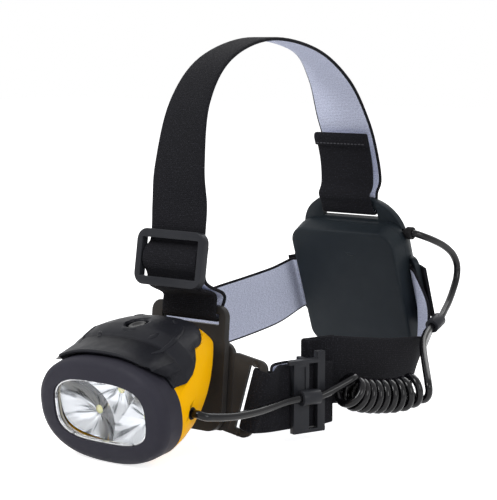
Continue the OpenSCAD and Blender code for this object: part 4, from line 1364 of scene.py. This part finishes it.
@dataclass
class LampHead:
    """The tilting head: bezel, lens and three cups, yellow housing, rubber cover and button.

    Attributes:
        bezel_w: Width of the bezel.
        bezel_h: Height of the bezel.
        lens_w: Width of the lens opening.
        lens_h: Height of the lens opening.
        button_y: Place of the button behind the bezel's face.
        button_top: Height of the button's rim over the middle of the bezel.
        button_r: Radius of the button.
        mark_r: Distance of the raised marks from the button's middle.
        marks: Angle of each mark round the button.
        visor: Height of the cover's front edge over the bezel.
        visor_y: Place of that edge behind the bezel's face.
        lip: First and last angle of that edge's rolled lip, in degrees from +X.
        tip: Place behind the face before which the visor's corners are drawn in.
        tip_x: Distance from the middle at which a corner starts.
        tip_z: Height below which a corner is lifted.
        crease: Points of the crease on the right, as seen from above.
        cup_at: Middle of each reflector cup, across and up.
        cup_r: Radius at which a cup reaches the reflector's front.
        cup_depth: Depth of a cup.
        cup_front: Place of the reflector's front behind the bezel's face.
        board_y: Place of the board that carries the LEDs.
    """

    bezel_w: float = 69.2
    bezel_h: float = 44.6
    lens_w: float = 50.4
    lens_h: float = 26.6
    button_y: float = 28.5
    button_top: float = 29.7
    button_r: float = 5.0
    mark_r: float = 16.0
    marks: tuple = (-25.0, 41.0, 127.6, 221.0)
    visor: float = 1.8
    visor_y: float = 6.1
    lip: tuple = (56.0, 130.0)
    tip: float = 9.0
    tip_x: float = 25.0
    tip_z: float = 20.5
    crease: tuple = ((17, 38), (20.5, 32), (22.6, 25), (22.4, 19), (20, 13.4))
    cup_at: tuple = ((-12.5, -4.5), (12.5, -4.5), (0.0, 5.0))
    cup_r: float = 17.5
    cup_depth: float = 9.2
    cup_front: float = 5.0
    board_y: float = 17.0

    def build(self) -> None:
        """Builds and dresses the head's pieces."""
        self.shell()
        self.optics()
        self.rubber()
        self.button()
        self.inside()

    def shell(self) -> None:
        """Finishes the bezel and the housing."""
        rework("bezel", Body.LAMP_HEAD, Paint.soft_touch, "soft_touch", 0, 30)
        rework("lamp_housing", Body.LAMP_HEAD, Paint.yellow, "housing", 0, 36)
        rework("cord_grommet", Body.LAMP_HEAD, Paint.seal, "seal", 0.3, 40)

    def optics(self) -> None:
        """Finishes the reflector, the LEDs and the lens, and adds the bright rim."""
        cups = settle(self.cups(), LAMP)
        soften(cups, 0, angle=16)
        hand_in(cups, Body.LAMP_HEAD, Paint.mirror, "reflector", "reflector")
        rework("leds", Body.LAMP_HEAD, Paint.led, "led", 0, 30)
        rework("lens", Body.LAMP_HEAD, Paint.lens, "lens", 0.2, 40)
        gap = 0.05
        rim = squared_trim("lens_rim", self.lens_w / 2 - gap, self.lens_h / 2 - gap, LENS_E,
                           [(0, 0.9), (0.35, 0.8), (0.7, 1.0), (0.75, 1.9), (0, 1.9)])
        settle(rim, LAMP)
        soften(rim, 0)
        hand_in(rim, Body.LAMP_HEAD, Paint.mirror, "reflector")

    def cups(self) -> Piece:
        """Makes the reflector, three paraboloids that meet in crisp ridges.

        Returns:
            The moulding, in millimetres in the lamp's frame.
        """
        lip, sides, count = 2.0, 220, 60
        back = self.board_y - 0.2
        outline = [squared(self.lens_w / 2 + lip, self.lens_h / 2 + lip, LENS_E,
                           math.tau * k / sides) for k in range(sides)]
        rings = [[self._cup_point(x * j / count, z * j / count) for x, z in outline]
                 for j in range(1, count + 1)]
        rings.append([Vector((x, back, z)) for x, z in outline])
        return capped("reflector_cups", self._cup_point(0, 0), rings, Vector((0, back, 0)))

    def _cup_point(self, x: float, z: float) -> Vector:
        """Finds the reflector's face at one place.

        Args:
            x: Distance from the middle, to the right.
            z: Height over the middle.

        Returns:
            The point of the face there.
        """
        dips = [self.cup_depth * (1 - ((x - cx) ** 2 + (z - cz) ** 2) / self.cup_r ** 2)
                for cx, cz in self.cup_at]
        return Vector((x, self.cup_front + max(0.0, *dips), z))

    def rubber(self) -> None:
        """Finishes the rubber cover with its rolled front edge, marks, creases and collar."""
        cover = refined("top_cover", 0, 50)
        self._draw_in(cover)
        parts = [cover, ridge("cover_lip", self._lip_line(), 1.9, 0.85, 0.25)]
        step = 1.6
        for mark in self.marks:
            arc = [math.radians(mark + step * k) for k in range(-6, 7)]
            line = laid_on(cover, LAMP, [(self.mark_r * math.cos(a),
                                          self.button_y + self.mark_r * math.sin(a)) for a in arc])
            parts.append(ridge("cover_mark", line, 2.6, 0.45, 0.8))
        for side in (1, -1):
            bends = smooth([Vector((side * x, y)) for x, y in self.crease], 6)
            parts.append(ridge("cover_crease", laid_on(cover, LAMP, [tuple(p) for p in bends]),
                               2.2, 0.4, 0.5))
        collar = turned("cover_collar", [(5.3, 27), (5.3, 29.7), (5.6, 29.9), (6.1, 29.9),
                                         (6.8, 29.6), (7.4, 28.9), (7.7, 27), (5.3, 27)], 56)
        settle(collar, LAMP @ shift(0, self.button_y, 0))
        soften(collar, 0, angle=50)
        parts.append(collar)
        for part in parts:
            hand_in(part, Body.LAMP_HEAD, Paint.cover_rubber, "soft_touch")
        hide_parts("top_cover")

    def _draw_in(self, cover: Piece) -> None:
        """Draws the sharp front corners of the visor in and up.

        Args:
            cover: The finished copy of the cover, in metres.
        """
        kept_x, kept_z, moved_back = 0.15, 0.35, 0.8
        to_lamp = LAMP.inverted()
        for vertex in cover.data.vertices:
            x, y, z = to_lamp @ (vertex.co / MM)
            if y < self.tip and z < self.tip_z:
                across = min(abs(x), self.tip_x + kept_x * max(0.0, abs(x) - self.tip_x))
                up = self.tip_z - (self.tip_z - z) * kept_z
                vertex.co = (LAMP @ Vector((math.copysign(across, x), y + moved_back, up))) * MM

    def _lip_line(self) -> list[tuple[Vector, Vector]]:
        """Follows the visor's front edge.

        Returns:
            Points of the edge and the way out from the lamp at each, in millimetres.
        """
        steps = 48
        start, end = self.lip
        line = []
        for k in range(steps + 1):
            angle = math.radians(start + (end - start) * k / steps)
            x, z = squared(self.bezel_w / 2 + self.visor, self.bezel_h / 2 + self.visor, BEZEL_E,
                           angle)
            out = Vector((math.cos(angle), 0, math.sin(angle)))
            line.append((LAMP @ Vector((x, self.visor_y, z)), (LAMP.to_3x3() @ out).normalized()))
        return line

    def button(self) -> None:
        """Makes the glossy button with its shallow dish."""
        top, r, lean = self.button_top, self.button_r, 7
        button = turned("power_button_cap", [
            (0, top - 0.5), (1.1, top - 0.45), (2.0, top - 0.22), (2.8, top),
            (3.5, top - 0.02), (4.2, top - 0.25), (4.7, top - 0.7), (r, top - 1.3), (r, 26.2),
            (6.2, 26.1), (6.2, 25.5), (0, 25.5)], 56)
        settle(button, LAMP @ shift(0, self.button_y, top) @ turn("X", lean)
               @ shift(0, 0, -top))
        soften(button, 0, angle=40)
        hand_in(button, Body.BUTTON, Paint.gloss, "button", "power_button")

    def inside(self) -> None:
        """Dresses what is inside the housing."""
        dress(Paint.nylon, "lens_seal")
        dress(Paint.board, "led_board", "switch_board")
        dress(Paint.aluminium, "heat_sink")
        dress(Paint.gloss, "switch_body")
        dress(Paint.steel, "lamp_screws")


# ---------- the front bracket ----------


@dataclass
class FrontBracket:
    """Tilt bracket, forehead plate with its strap ears, foam pad and hinge.

    Attributes:
        ear_mid: Distance of the middle of an ear's slot from its root.
        disc_z: Height of the moulded discs over the ear's middle.
        pad: Width, thickness and height of the pad.
        pad_corner: Corner radius of the pad.
        pad_at: Place of the pad's front face and height of its middle.
    """

    ear_mid: float = 8.9
    disc_z: float = 15.4
    pad: tuple = (41.4, 4.2, 33.4)
    pad_corner: float = 7.5
    pad_at: tuple = (2.35, -3)

    def build(self) -> None:
        """Builds and dresses the bracket's pieces."""
        rework("tilt_bracket", Body.HEADBAND, Paint.bracket, "bracket", 0.55, 32)
        rework("forehead_plate", Body.HEADBAND, Paint.bracket, "bracket", 0.45, 32)
        rework("hinge_pin", Body.HEADBAND, Paint.steel, "steel", 0.25, 40)
        dress(Paint.nylon, "hinge_washers")
        dress(Paint.steel, "bracket_screws")
        self.discs()
        self.cushion()

    def discs(self) -> None:
        """Adds the small moulded discs over and under each ear's slot."""
        made = []
        for ear in (EAR, FAR_EAR):
            for z in (self.disc_z, -self.disc_z):
                disc = turned("ear_disc", [(0, 0.25), (0.9, 0.25), (1.1, 0.45), (1.5, 0.45),
                                           (1.7, 0.2), (1.7, -0.4), (0, -0.4)], 24)
                settle(disc, ear @ shift(self.ear_mid, -1.1, z) @ turn("X", 90))
                soften(disc, 0, angle=50)
                made.append(disc)
        hand_in(join("ear_discs", made), Body.HEADBAND, Paint.bracket, "bracket")

    def cushion(self) -> None:
        """Makes the crowned foam pad with a pressed channel along its edge."""
        deselect_all()
        bpy.ops.mesh.primitive_cube_add(size=1)
        piece = bpy.context.object
        piece.name = "forehead_cushion"
        piece.data.transform(Matrix.Diagonal((*self.pad, 1)))
        with Editing(piece) as editing:
            bpy.ops.mesh.select_mode(type="EDGE")
            mesh = bmesh.from_edit_mesh(piece.data)
            for edge in mesh.edges:
                along = edge.verts[0].co - edge.verts[1].co
                edge.select_set(abs(along.y) > 0.9 * along.length)
            bmesh.update_edit_mesh(piece.data)
            bpy.ops.mesh.bevel(offset=self.pad_corner, segments=6, affect="EDGES")
            self._press(editing, 1.0, ((1.3, 0.0), (1.6, -0.7), (2.4, 0.5), (4.0, 0.35)))
            self._press(editing, -1.0, ((1.0, 0.0),))
        smooth_it = piece.modifiers.new("crown", "SUBSURF")
        smooth_it.levels = 2
        apply_all(piece)
        settle(piece, BRACKET @ shift(0, self.pad_at[0] + self.pad[1] / 2, self.pad_at[1]))
        take(piece)
        bpy.ops.object.shade_smooth()
        hand_in(piece, Body.HEADBAND, Paint.foam, "foam", "forehead_pad")

    @staticmethod
    def _press(editing: Editing, side: float, steps: Sequence[tuple[float, float]]) -> None:
        """Insets one face of the cushion in steps.

        Args:
            editing: Edit mode on the cushion.
            side: 1 for the face towards +Y, -1 for the other.
            steps: Inset of each step and how far it is pushed out.
        """
        editing.pick(lambda face: face.normal.y * side > 0.9)
        for inset, push in steps:
            bpy.ops.mesh.inset(thickness=inset, depth=push)


# ---------- the straps ----------


@dataclass
class CrownStrap:
    """The strap over the crown with its slider.

    Attributes:
        full: Width of the strap where it passes through the hardware.
        across: Direction across the strap.
    """

    full: float = 29.6
    across: tuple = (1, 0, 0)

    def rows(self) -> list[Row]:
        """Lays the strap round the bracket's tab, over the head and round the rear bar.

        Returns:
            The route's stations, from the tail behind the slider to the tail at the back.
        """
        tab = ([(2.2, 0.6, 35.7, 0.05), (2.2, 0.2, 30.7, 0)]
               + [(2.2, y, z, 0) for y, z in bend(-2.4, 27.9, 2.6, 0, -180)]
               + [(2.2, -5, 30.7, 0), (2.2, -5.6, 35.7, 0.05)])
        slider = [(0.5, 4.3, -11.8), (0, 3.1, -7.8), (0, 1.8, -5.6), (0, 0, -3.8), (0, -1, -1.4),
                  (0, -1, 1.4), (0, 0, 3.8), (0, 1.8, 5.6), (0, 3, 7.8), (0, 3, 13)]
        over = [(0.6, -66.6, 56, 0), (0.3, -66, 72, -0.11), (0, -59, 98, -0.3),
                (0, -41.5, 116.5, -0.45), (0, -10, 125, -0.6), (0, 24.3, 120, -0.58),
                (0, 44, 106, -0.26), (0, 55.8, 87, 0), (0, 63.2, 72, 0), (0, 67, 58, 0)]
        bar = ([(0, 9.6, 45.1), (0, 8.1, 41.1)]
               + [(0, y, z) for y, z in bend(5.5, 38.6, 2.5, 0, -180)]
               + [(0, 2.8, 42.6), (0, 2.3, 46.6)])
        made = [row(CROWN_SLIDER, p, self.across, self.full, False)
                for p in ((0.5, 5.4, 6), (1, 5.4, -8))]
        made += [row(BRACKET, p[:3], (1, 0, p[3]), self.full, False) for p in tab]
        made += [row(CROWN_SLIDER, p, self.across, self.full, False) for p in slider]
        made += [row(HEAD, p[:3], (1, p[3], 0), WEB_W, False) for p in over]
        made += [row(BOX, p, self.across, self.full, False) for p in bar]
        made += [row(HEAD, p, self.across, WEB_W, False)
                 for p in ((0, 59.6, 56), (0, 58.6, 67), (0, 54.6, 79))]
        return made

    def build(self) -> None:
        """Builds the strap, its folded hem, its stitches and its slider."""
        hand_in(strap("crown_strap", self.rows(), Face.LEFT), Body.HEADBAND, Paint.web, "webbing",
                "top_strap")
        rework("top_slider", Body.HEADBAND, Paint.slider, "slider", 0.75, 32, 3)
        self.hem()

    def hem(self) -> None:
        """Adds the folded and stitched end of the strap's tail."""
        end, along = Vector((0, 54.6, 79)), Vector((0, -0.316, 0.949))
        inward = Vector((0, -0.949, -0.316))
        rows = [Row(end + along * s + inward * o, Vector((1, 0, 0)), WEB_W)
                for s, o in ((-4.2, 1.5), (-2.4, 1.55), (-0.4, 1.5), (0.85, 0.8), (0.6, -0.2))]
        hand_in(strap("crown_hem", rows, Face.LEFT, 4), Body.HEADBAND, Paint.web, "webbing")
        half = Vector((14, 0, 0))
        middle = end + along * -3.2 + inward * 2.3
        hand_in(stitches("crown_hem_stitches", [(middle - half, middle + half)], inward),
                Body.HEADBAND, Paint.thread, "webbing")


@dataclass
class SideStraps:
    """The straps at both sides, the slider between two of them and the lead's clip.

    Attributes:
        tight: Width of a strap where it is drawn through an ear.
        ear_bar: Place of a front ear's bar, and the strap's radius round it.
        rear_bar: The same for a rear ear.
        slot: Width of a strap where it passes through a rear ear.
    """

    tight: float = 26.8
    ear_bar: tuple = (11.2, 0, 2.1)
    rear_bar: tuple = (6.7, 0, 2.2)
    slot: float = 27.0

    def near_front(self) -> list[Row]:
        """Lays the front loop on the lead's side, round the ear's bar to the slider.

        Returns:
            The route's stations.
        """
        wide, near = 28.5, self.tight + 1
        lay = [((15, 3.6, -0.5), 27), ((8, 2.5, -0.3), 28), ((0, 2.4, 0), wide),
               ((-9.5, 2.3, 0), wide), ((-13.5, 2, 0), wide)]
        back = ([(-15.2, 4.7), (-9, 8.2), (-3.3, 8.6)] + bend(-0.3, 6.6, 2.0, 90, -90)
                + [(-3.3, 4.6), (-7, 4.6)])
        turn_in = ([(16.5, 0.6), (15.6, -1.8), (13.2, -2.4)] + bend(*self.ear_bar, 270, 90)
                   + [(13.2, 2.1), (14.2, 2.9), (14.5, 4.3)])
        return ([row(SIDE_SLIDER, p, width=w) for p, w in lay]
                + [row(SIDE_SLIDER, (-18.4, -0.3, -0.1), (0.1, 0.06, 1), near, False)]
                + flat(EAR, turn_in, self.tight) + flat(SIDE_SLIDER, back, wide))

    def near_rear(self) -> list[Row]:
        """Lays the rear length on the lead's side, from the slider's bar up to the ear.

        Returns:
            The route's stations.
        """
        run = [((44.6, -15, -18.6), (0, 0, 1), 30), ((48, 2, -21.2), (0, 0, 1), 30),
               ((49.6, 24, -24.4), (0, 0, 1), 30), ((48.4, 42, -26.2), (0.1, 0, 1), 30),
               ((43.2, 55, -26.6), (0.35, 0, 0.94), 29), ((39.6, 63, -21), (0.45, -0.05, 0.9), 27),
               ((38.6, 67.6, -12), (0.3, -0.1, 0.95), 27)]
        hook = ([(24, 15), (14.2, 14.6), (10.2, 14.6)] + bend(8.2, 12.6, 2.0, 90, 270)
                + [(10.2, 10.6)])
        return (flat(SIDE_SLIDER, hook, 29.6, 7.2)
                + [row(HEAD, p, up, w) for p, up, w in run]
                + [row(REAR_EAR, (10.5, -3.4, -2), (0.1, -0.3, 0.94), 27, False)]
                + flat(REAR_EAR, [(7.7, -2.2)] + bend(*self.rear_bar, 270, 90) + [(11.7, 2.4)],
                       self.slot))

    def far(self) -> list[Row]:
        """Lays the far side, one length from the front ear to the rear ear.

        Returns:
            The route's stations.
        """
        run = [((-41.6, -50, -25.3), (0, 0, 1), 29), ((-43.8, -40, -22), (0, 0, 1), 30),
               ((-46, -26, -17.5), (0, 0, 1), 30), ((-48.4, -4, -12.6), (0, 0, 1), 30),
               ((-47.6, 16, -9), (0, -0.1, 1), 30), ((-45, 38, -6), (0, -0.1, 1), 30),
               ((-40.6, 56, -2.2), (0, -0.2, 1), 29.5)]
        turn_in = ([(15.2, 2.1), (13.2, 2.1)] + bend(*self.ear_bar, 90, 270) + [(13.2, -2.1)])
        return (flat(FAR_EAR, turn_in, self.tight)
                + [row(FAR_EAR, (16.2, -1.7, 0), (-0.1, 0.1, 1), self.tight, False),
                   row(FAR_EAR, (18.6, 0.1, 0.6), (0, 0.05, 1), self.tight + 1, False)]
                + [row(HEAD, p, up, w) for p, up, w in run]
                + [row(FAR_REAR_EAR, (12.2, -2.6, -0.5), (0, -0.3, 1), 28, False)]
                + flat(FAR_REAR_EAR, [(8.7, -2.2)] + bend(*self.rear_bar, 270, 90) + [(12.7, 2.4)],
                       self.slot))

    def build(self) -> None:
        """Builds the straps, the slider, the clip and the stitches."""
        for name, route, dark, node in (
                ("front_loop", self.near_front(), Face.LEFT, "side_strap_near_front"),
                ("rear_length", self.near_rear(), Face.RIGHT, "side_strap_near_rear"),
                ("far_length", self.far(), Face.LEFT, "side_strap_far")):
            hand_in(strap(name, route, dark), Body.HEADBAND, Paint.web, "webbing", node)
        rework("side_slider_near", Body.HEADBAND, Paint.slider, "slider", 0.35, 32)
        rework("cord_clip", Body.HEADBAND, Paint.slider, "slider", 0.3, 32)
        self.seams()

    def seams(self) -> None:
        """Adds the stitched seams where the straps are sewn back on themselves."""
        half = 12
        for name, ear, x, y in (("front_seam", FAR_EAR, 14.6, 3.05),
                                ("rear_seam", REAR_EAR, 10.3, 3.3),
                                ("far_seam", FAR_REAR_EAR, 10.9, 3.3)):
            rows = [(ear @ Vector((x + step, y, -half)), ear @ Vector((x + step, y, half)))
                    for step in ((-1.4, 0) if ear is FAR_EAR else (0,))]
            facing = (ear.to_3x3() @ Vector((0, 1, 0))).normalized()
            hand_in(stitches(name, rows, facing), Body.HEADBAND, Paint.thread, "webbing")


# ---------- the battery box ----------


@dataclass
class BatteryBox:
    """The box at the back: tray, hinged cover, gland and what is inside.

    Attributes:
        cover_face: How far the cover's face is in front of the seam.
        mark: Middle of the raised thumb mark on the cover, across and up.
        width: Width of the box.
        height: Height of the box.
        corner: Radius of its corners.
        wall: Thickness of the cover.
        hinge_z: Height of the cover's hinge.
        knuckle_r: Radius of the hinge's knuckle.
        knuckle_w: Width of that knuckle.
        bore: Radius of its bore.
    """

    cover_face: float = 8.0
    mark: tuple = (4.0, 20.0)
    width: float = 62.0
    height: float = 66.0
    corner: float = 10.0
    wall: float = 1.8
    hinge_z: float = -35.6
    knuckle_r: float = 2.4
    knuckle_w: float = 20.0
    bore: float = 1.05

    def build(self) -> None:
        """Builds and dresses the box's pieces."""
        rework("battery_tray", Body.HEADBAND, Paint.box, "box", 0.3, 36)
        self.cover()
        rework("battery_gland", Body.HEADBAND, Paint.seal, "seal", 0.25, 40)
        rework("cover_hinge_pin", Body.HEADBAND, Paint.steel, "steel", 0.2, 40)
        self.thumb_mark()
        dress(Paint.cell, "aa_cells")
        dress(Paint.steel, "contact_springs", "contact_plates")

    def cover(self) -> None:
        """Makes the cover with drafted walls, a crisp rim round its flat face and its knuckle."""
        # Inset and depth of each ring, from the rim of the face to the seam and back inside
        sections = ((2.9, self.cover_face), (2.2, 7.97), (1.6, 7.75), (1.25, 7.3), (1.05, 6.6),
                    (0.0, 0.15), (self.wall, 0.15), (self.wall + 0.1, self.cover_face - self.wall))
        shell = capped("battery_cover_shell", Vector((0, -self.cover_face, 0)),
                       [self._outline(inset, -depth) for inset, depth in sections],
                       Vector((0, self.wall - self.cover_face, 0)))
        settle(shell, BOX)
        half, reach, bore = self.knuckle_w / 2, self.knuckle_r, self.bore
        knuckle = turned("cover_knuckle", [(bore, -half), (reach, -half), (reach, half),
                                           (bore, half), (bore, -half)], 40)
        settle(knuckle, BOX @ shift(0, 0, self.hinge_z) @ turn("Y", 90))
        low, high, seam = self.hinge_z + 1.4, self.hinge_z + 4, -0.3
        corners = ((half, low), (half, high), (-half, high), (-half, low))
        neck = capped("cover_neck", Vector((0, -reach, (low + high) / 2)),
                      [[Vector((x, y, z)) for x, z in corners] for y in (-reach, seam)],
                      Vector((0, seam, (low + high) / 2)))
        settle(neck, BOX)
        cover = join("battery_cover_whole", [shell, knuckle, neck])
        soften(cover, 0, angle=28)
        hand_in(cover, Body.COVER, Paint.box, "box", "battery_cover")

    def _outline(self, inset: float, y: float) -> list[Vector]:
        """The box's rounded outline.

        Args:
            inset: How far it lies within the box's sides.
            y: Its place along Y.

        Returns:
            Its points, from +X round to +Z.
        """
        steps, tighten = 10, 1.5
        radius = self.corner - tighten * inset
        across, tall = self.width / 2 - inset - radius, self.height / 2 - inset - radius
        points = []
        for side, up, start in ((1, -1, -90), (1, 1, 0), (-1, 1, 90), (-1, -1, 180)):
            for k in range(steps + 1):
                angle = math.radians(start + 90 * k / steps)
                points.append(Vector((side * across + radius * math.cos(angle), y,
                                      up * tall + radius * math.sin(angle))))
        return points

    def thumb_mark(self) -> None:
        """Adds the small raised mark that helps a thumb to open the cover."""
        facing = (BOX.to_3x3() @ Vector((0, -1, 0))).normalized()
        pitch, slope, curve = 0.44, -0.1, 0.012
        line = [(BOX @ Vector((self.mark[0] + pitch * k, -self.cover_face,
                               self.mark[1] + slope * k + curve * k * k)), facing)
                for k in range(-6, 7)]
        hand_in(ridge("cover_thumb_mark", line, 1.5, 0.28, 0.8), Body.COVER, Paint.box, "box")


# ---------- camera, floor and light ----------


@dataclass
class Studio:
    """Camera, pale floor and soft lights.

    Attributes:
        camera_at: Place of the camera in metres.
        camera_turn: Its rotation in degrees about X, Y and Z.
        lens: Focal length in millimetres.
        ambient: Strength of the light from all round.
        floor_gap: Distance of the floor below the lamp, in metres.
        aim: Point that the soft lamps face.
        lamps: Name, place, size and power of each soft lamp.
    """

    camera_at: tuple = (0.46364, -0.61626, 0.12567)
    camera_turn: tuple = (82.871, 0.0, 37.775)
    lens: float = 122.4
    ambient: float = 0.42
    floor_gap: float = 0.0002
    aim: tuple = (0, 0, 0.02)
    lamps: tuple = (("key", (-0.35, -0.95, 0.95), 0.45, 9.0),
                    ("fill", (1.1, -0.35, 0.55), 0.6, 5.0),
                    ("back", (-0.2, 1.0, 0.9), 0.8, 6.0))

    def camera(self) -> None:
        """Sets up the camera."""
        data = bpy.data.cameras.new("camera")
        data.lens = self.lens
        data.sensor_width = 36.0
        camera = add("camera", data)
        camera.location = self.camera_at
        camera.rotation_euler = tuple(math.radians(a) for a in self.camera_turn)
        bpy.context.scene.camera = camera
        bpy.context.scene.view_settings.view_transform = "Standard"

    def floor(self) -> None:
        """Lays the floor under the lowest point of the lamp."""
        deselect_all()
        bpy.ops.mesh.primitive_plane_add(size=6, location=(0, 0, CAD_BOX[0][2] - self.floor_gap))
        floor = bpy.context.object
        floor.name = "floor"
        Paint.on(floor, Paint.backdrop)

    def light(self) -> None:
        """Adds the soft lamps and the white surroundings."""
        for name, at, size, power in self.lamps:
            data = bpy.data.lights.new(name, "AREA")
            data.size = size
            data.energy = power
            lamp = add(name, data)
            lamp.location = at
            facing = Vector(self.aim) - lamp.location
            lamp.rotation_euler = facing.to_track_quat("-Z", "Y").to_euler()
        world = bpy.data.worlds.new("surroundings")
        bpy.context.scene.world = world
        world.use_nodes = True
        graph = Graph(world.node_tree)
        background = graph.tree.nodes["Background"]
        graph.feed(background.inputs["Color"], tint(1, 1, 1))
        graph.feed(background.inputs["Strength"],
                   graph.spread(graph.seen(), 0.0, 1.0, self.ambient, 1.0))


def main() -> None:
    """Builds the lamp, sub-assembly by sub-assembly."""
    studio = Studio()
    studio.camera()
    Lead().build()
    LampHead().build()
    FrontBracket().build()
    CrownStrap().build()
    SideStraps().build()
    BatteryBox().build()
    studio.floor()
    studio.light()


if __name__ == "__main__":
    main()
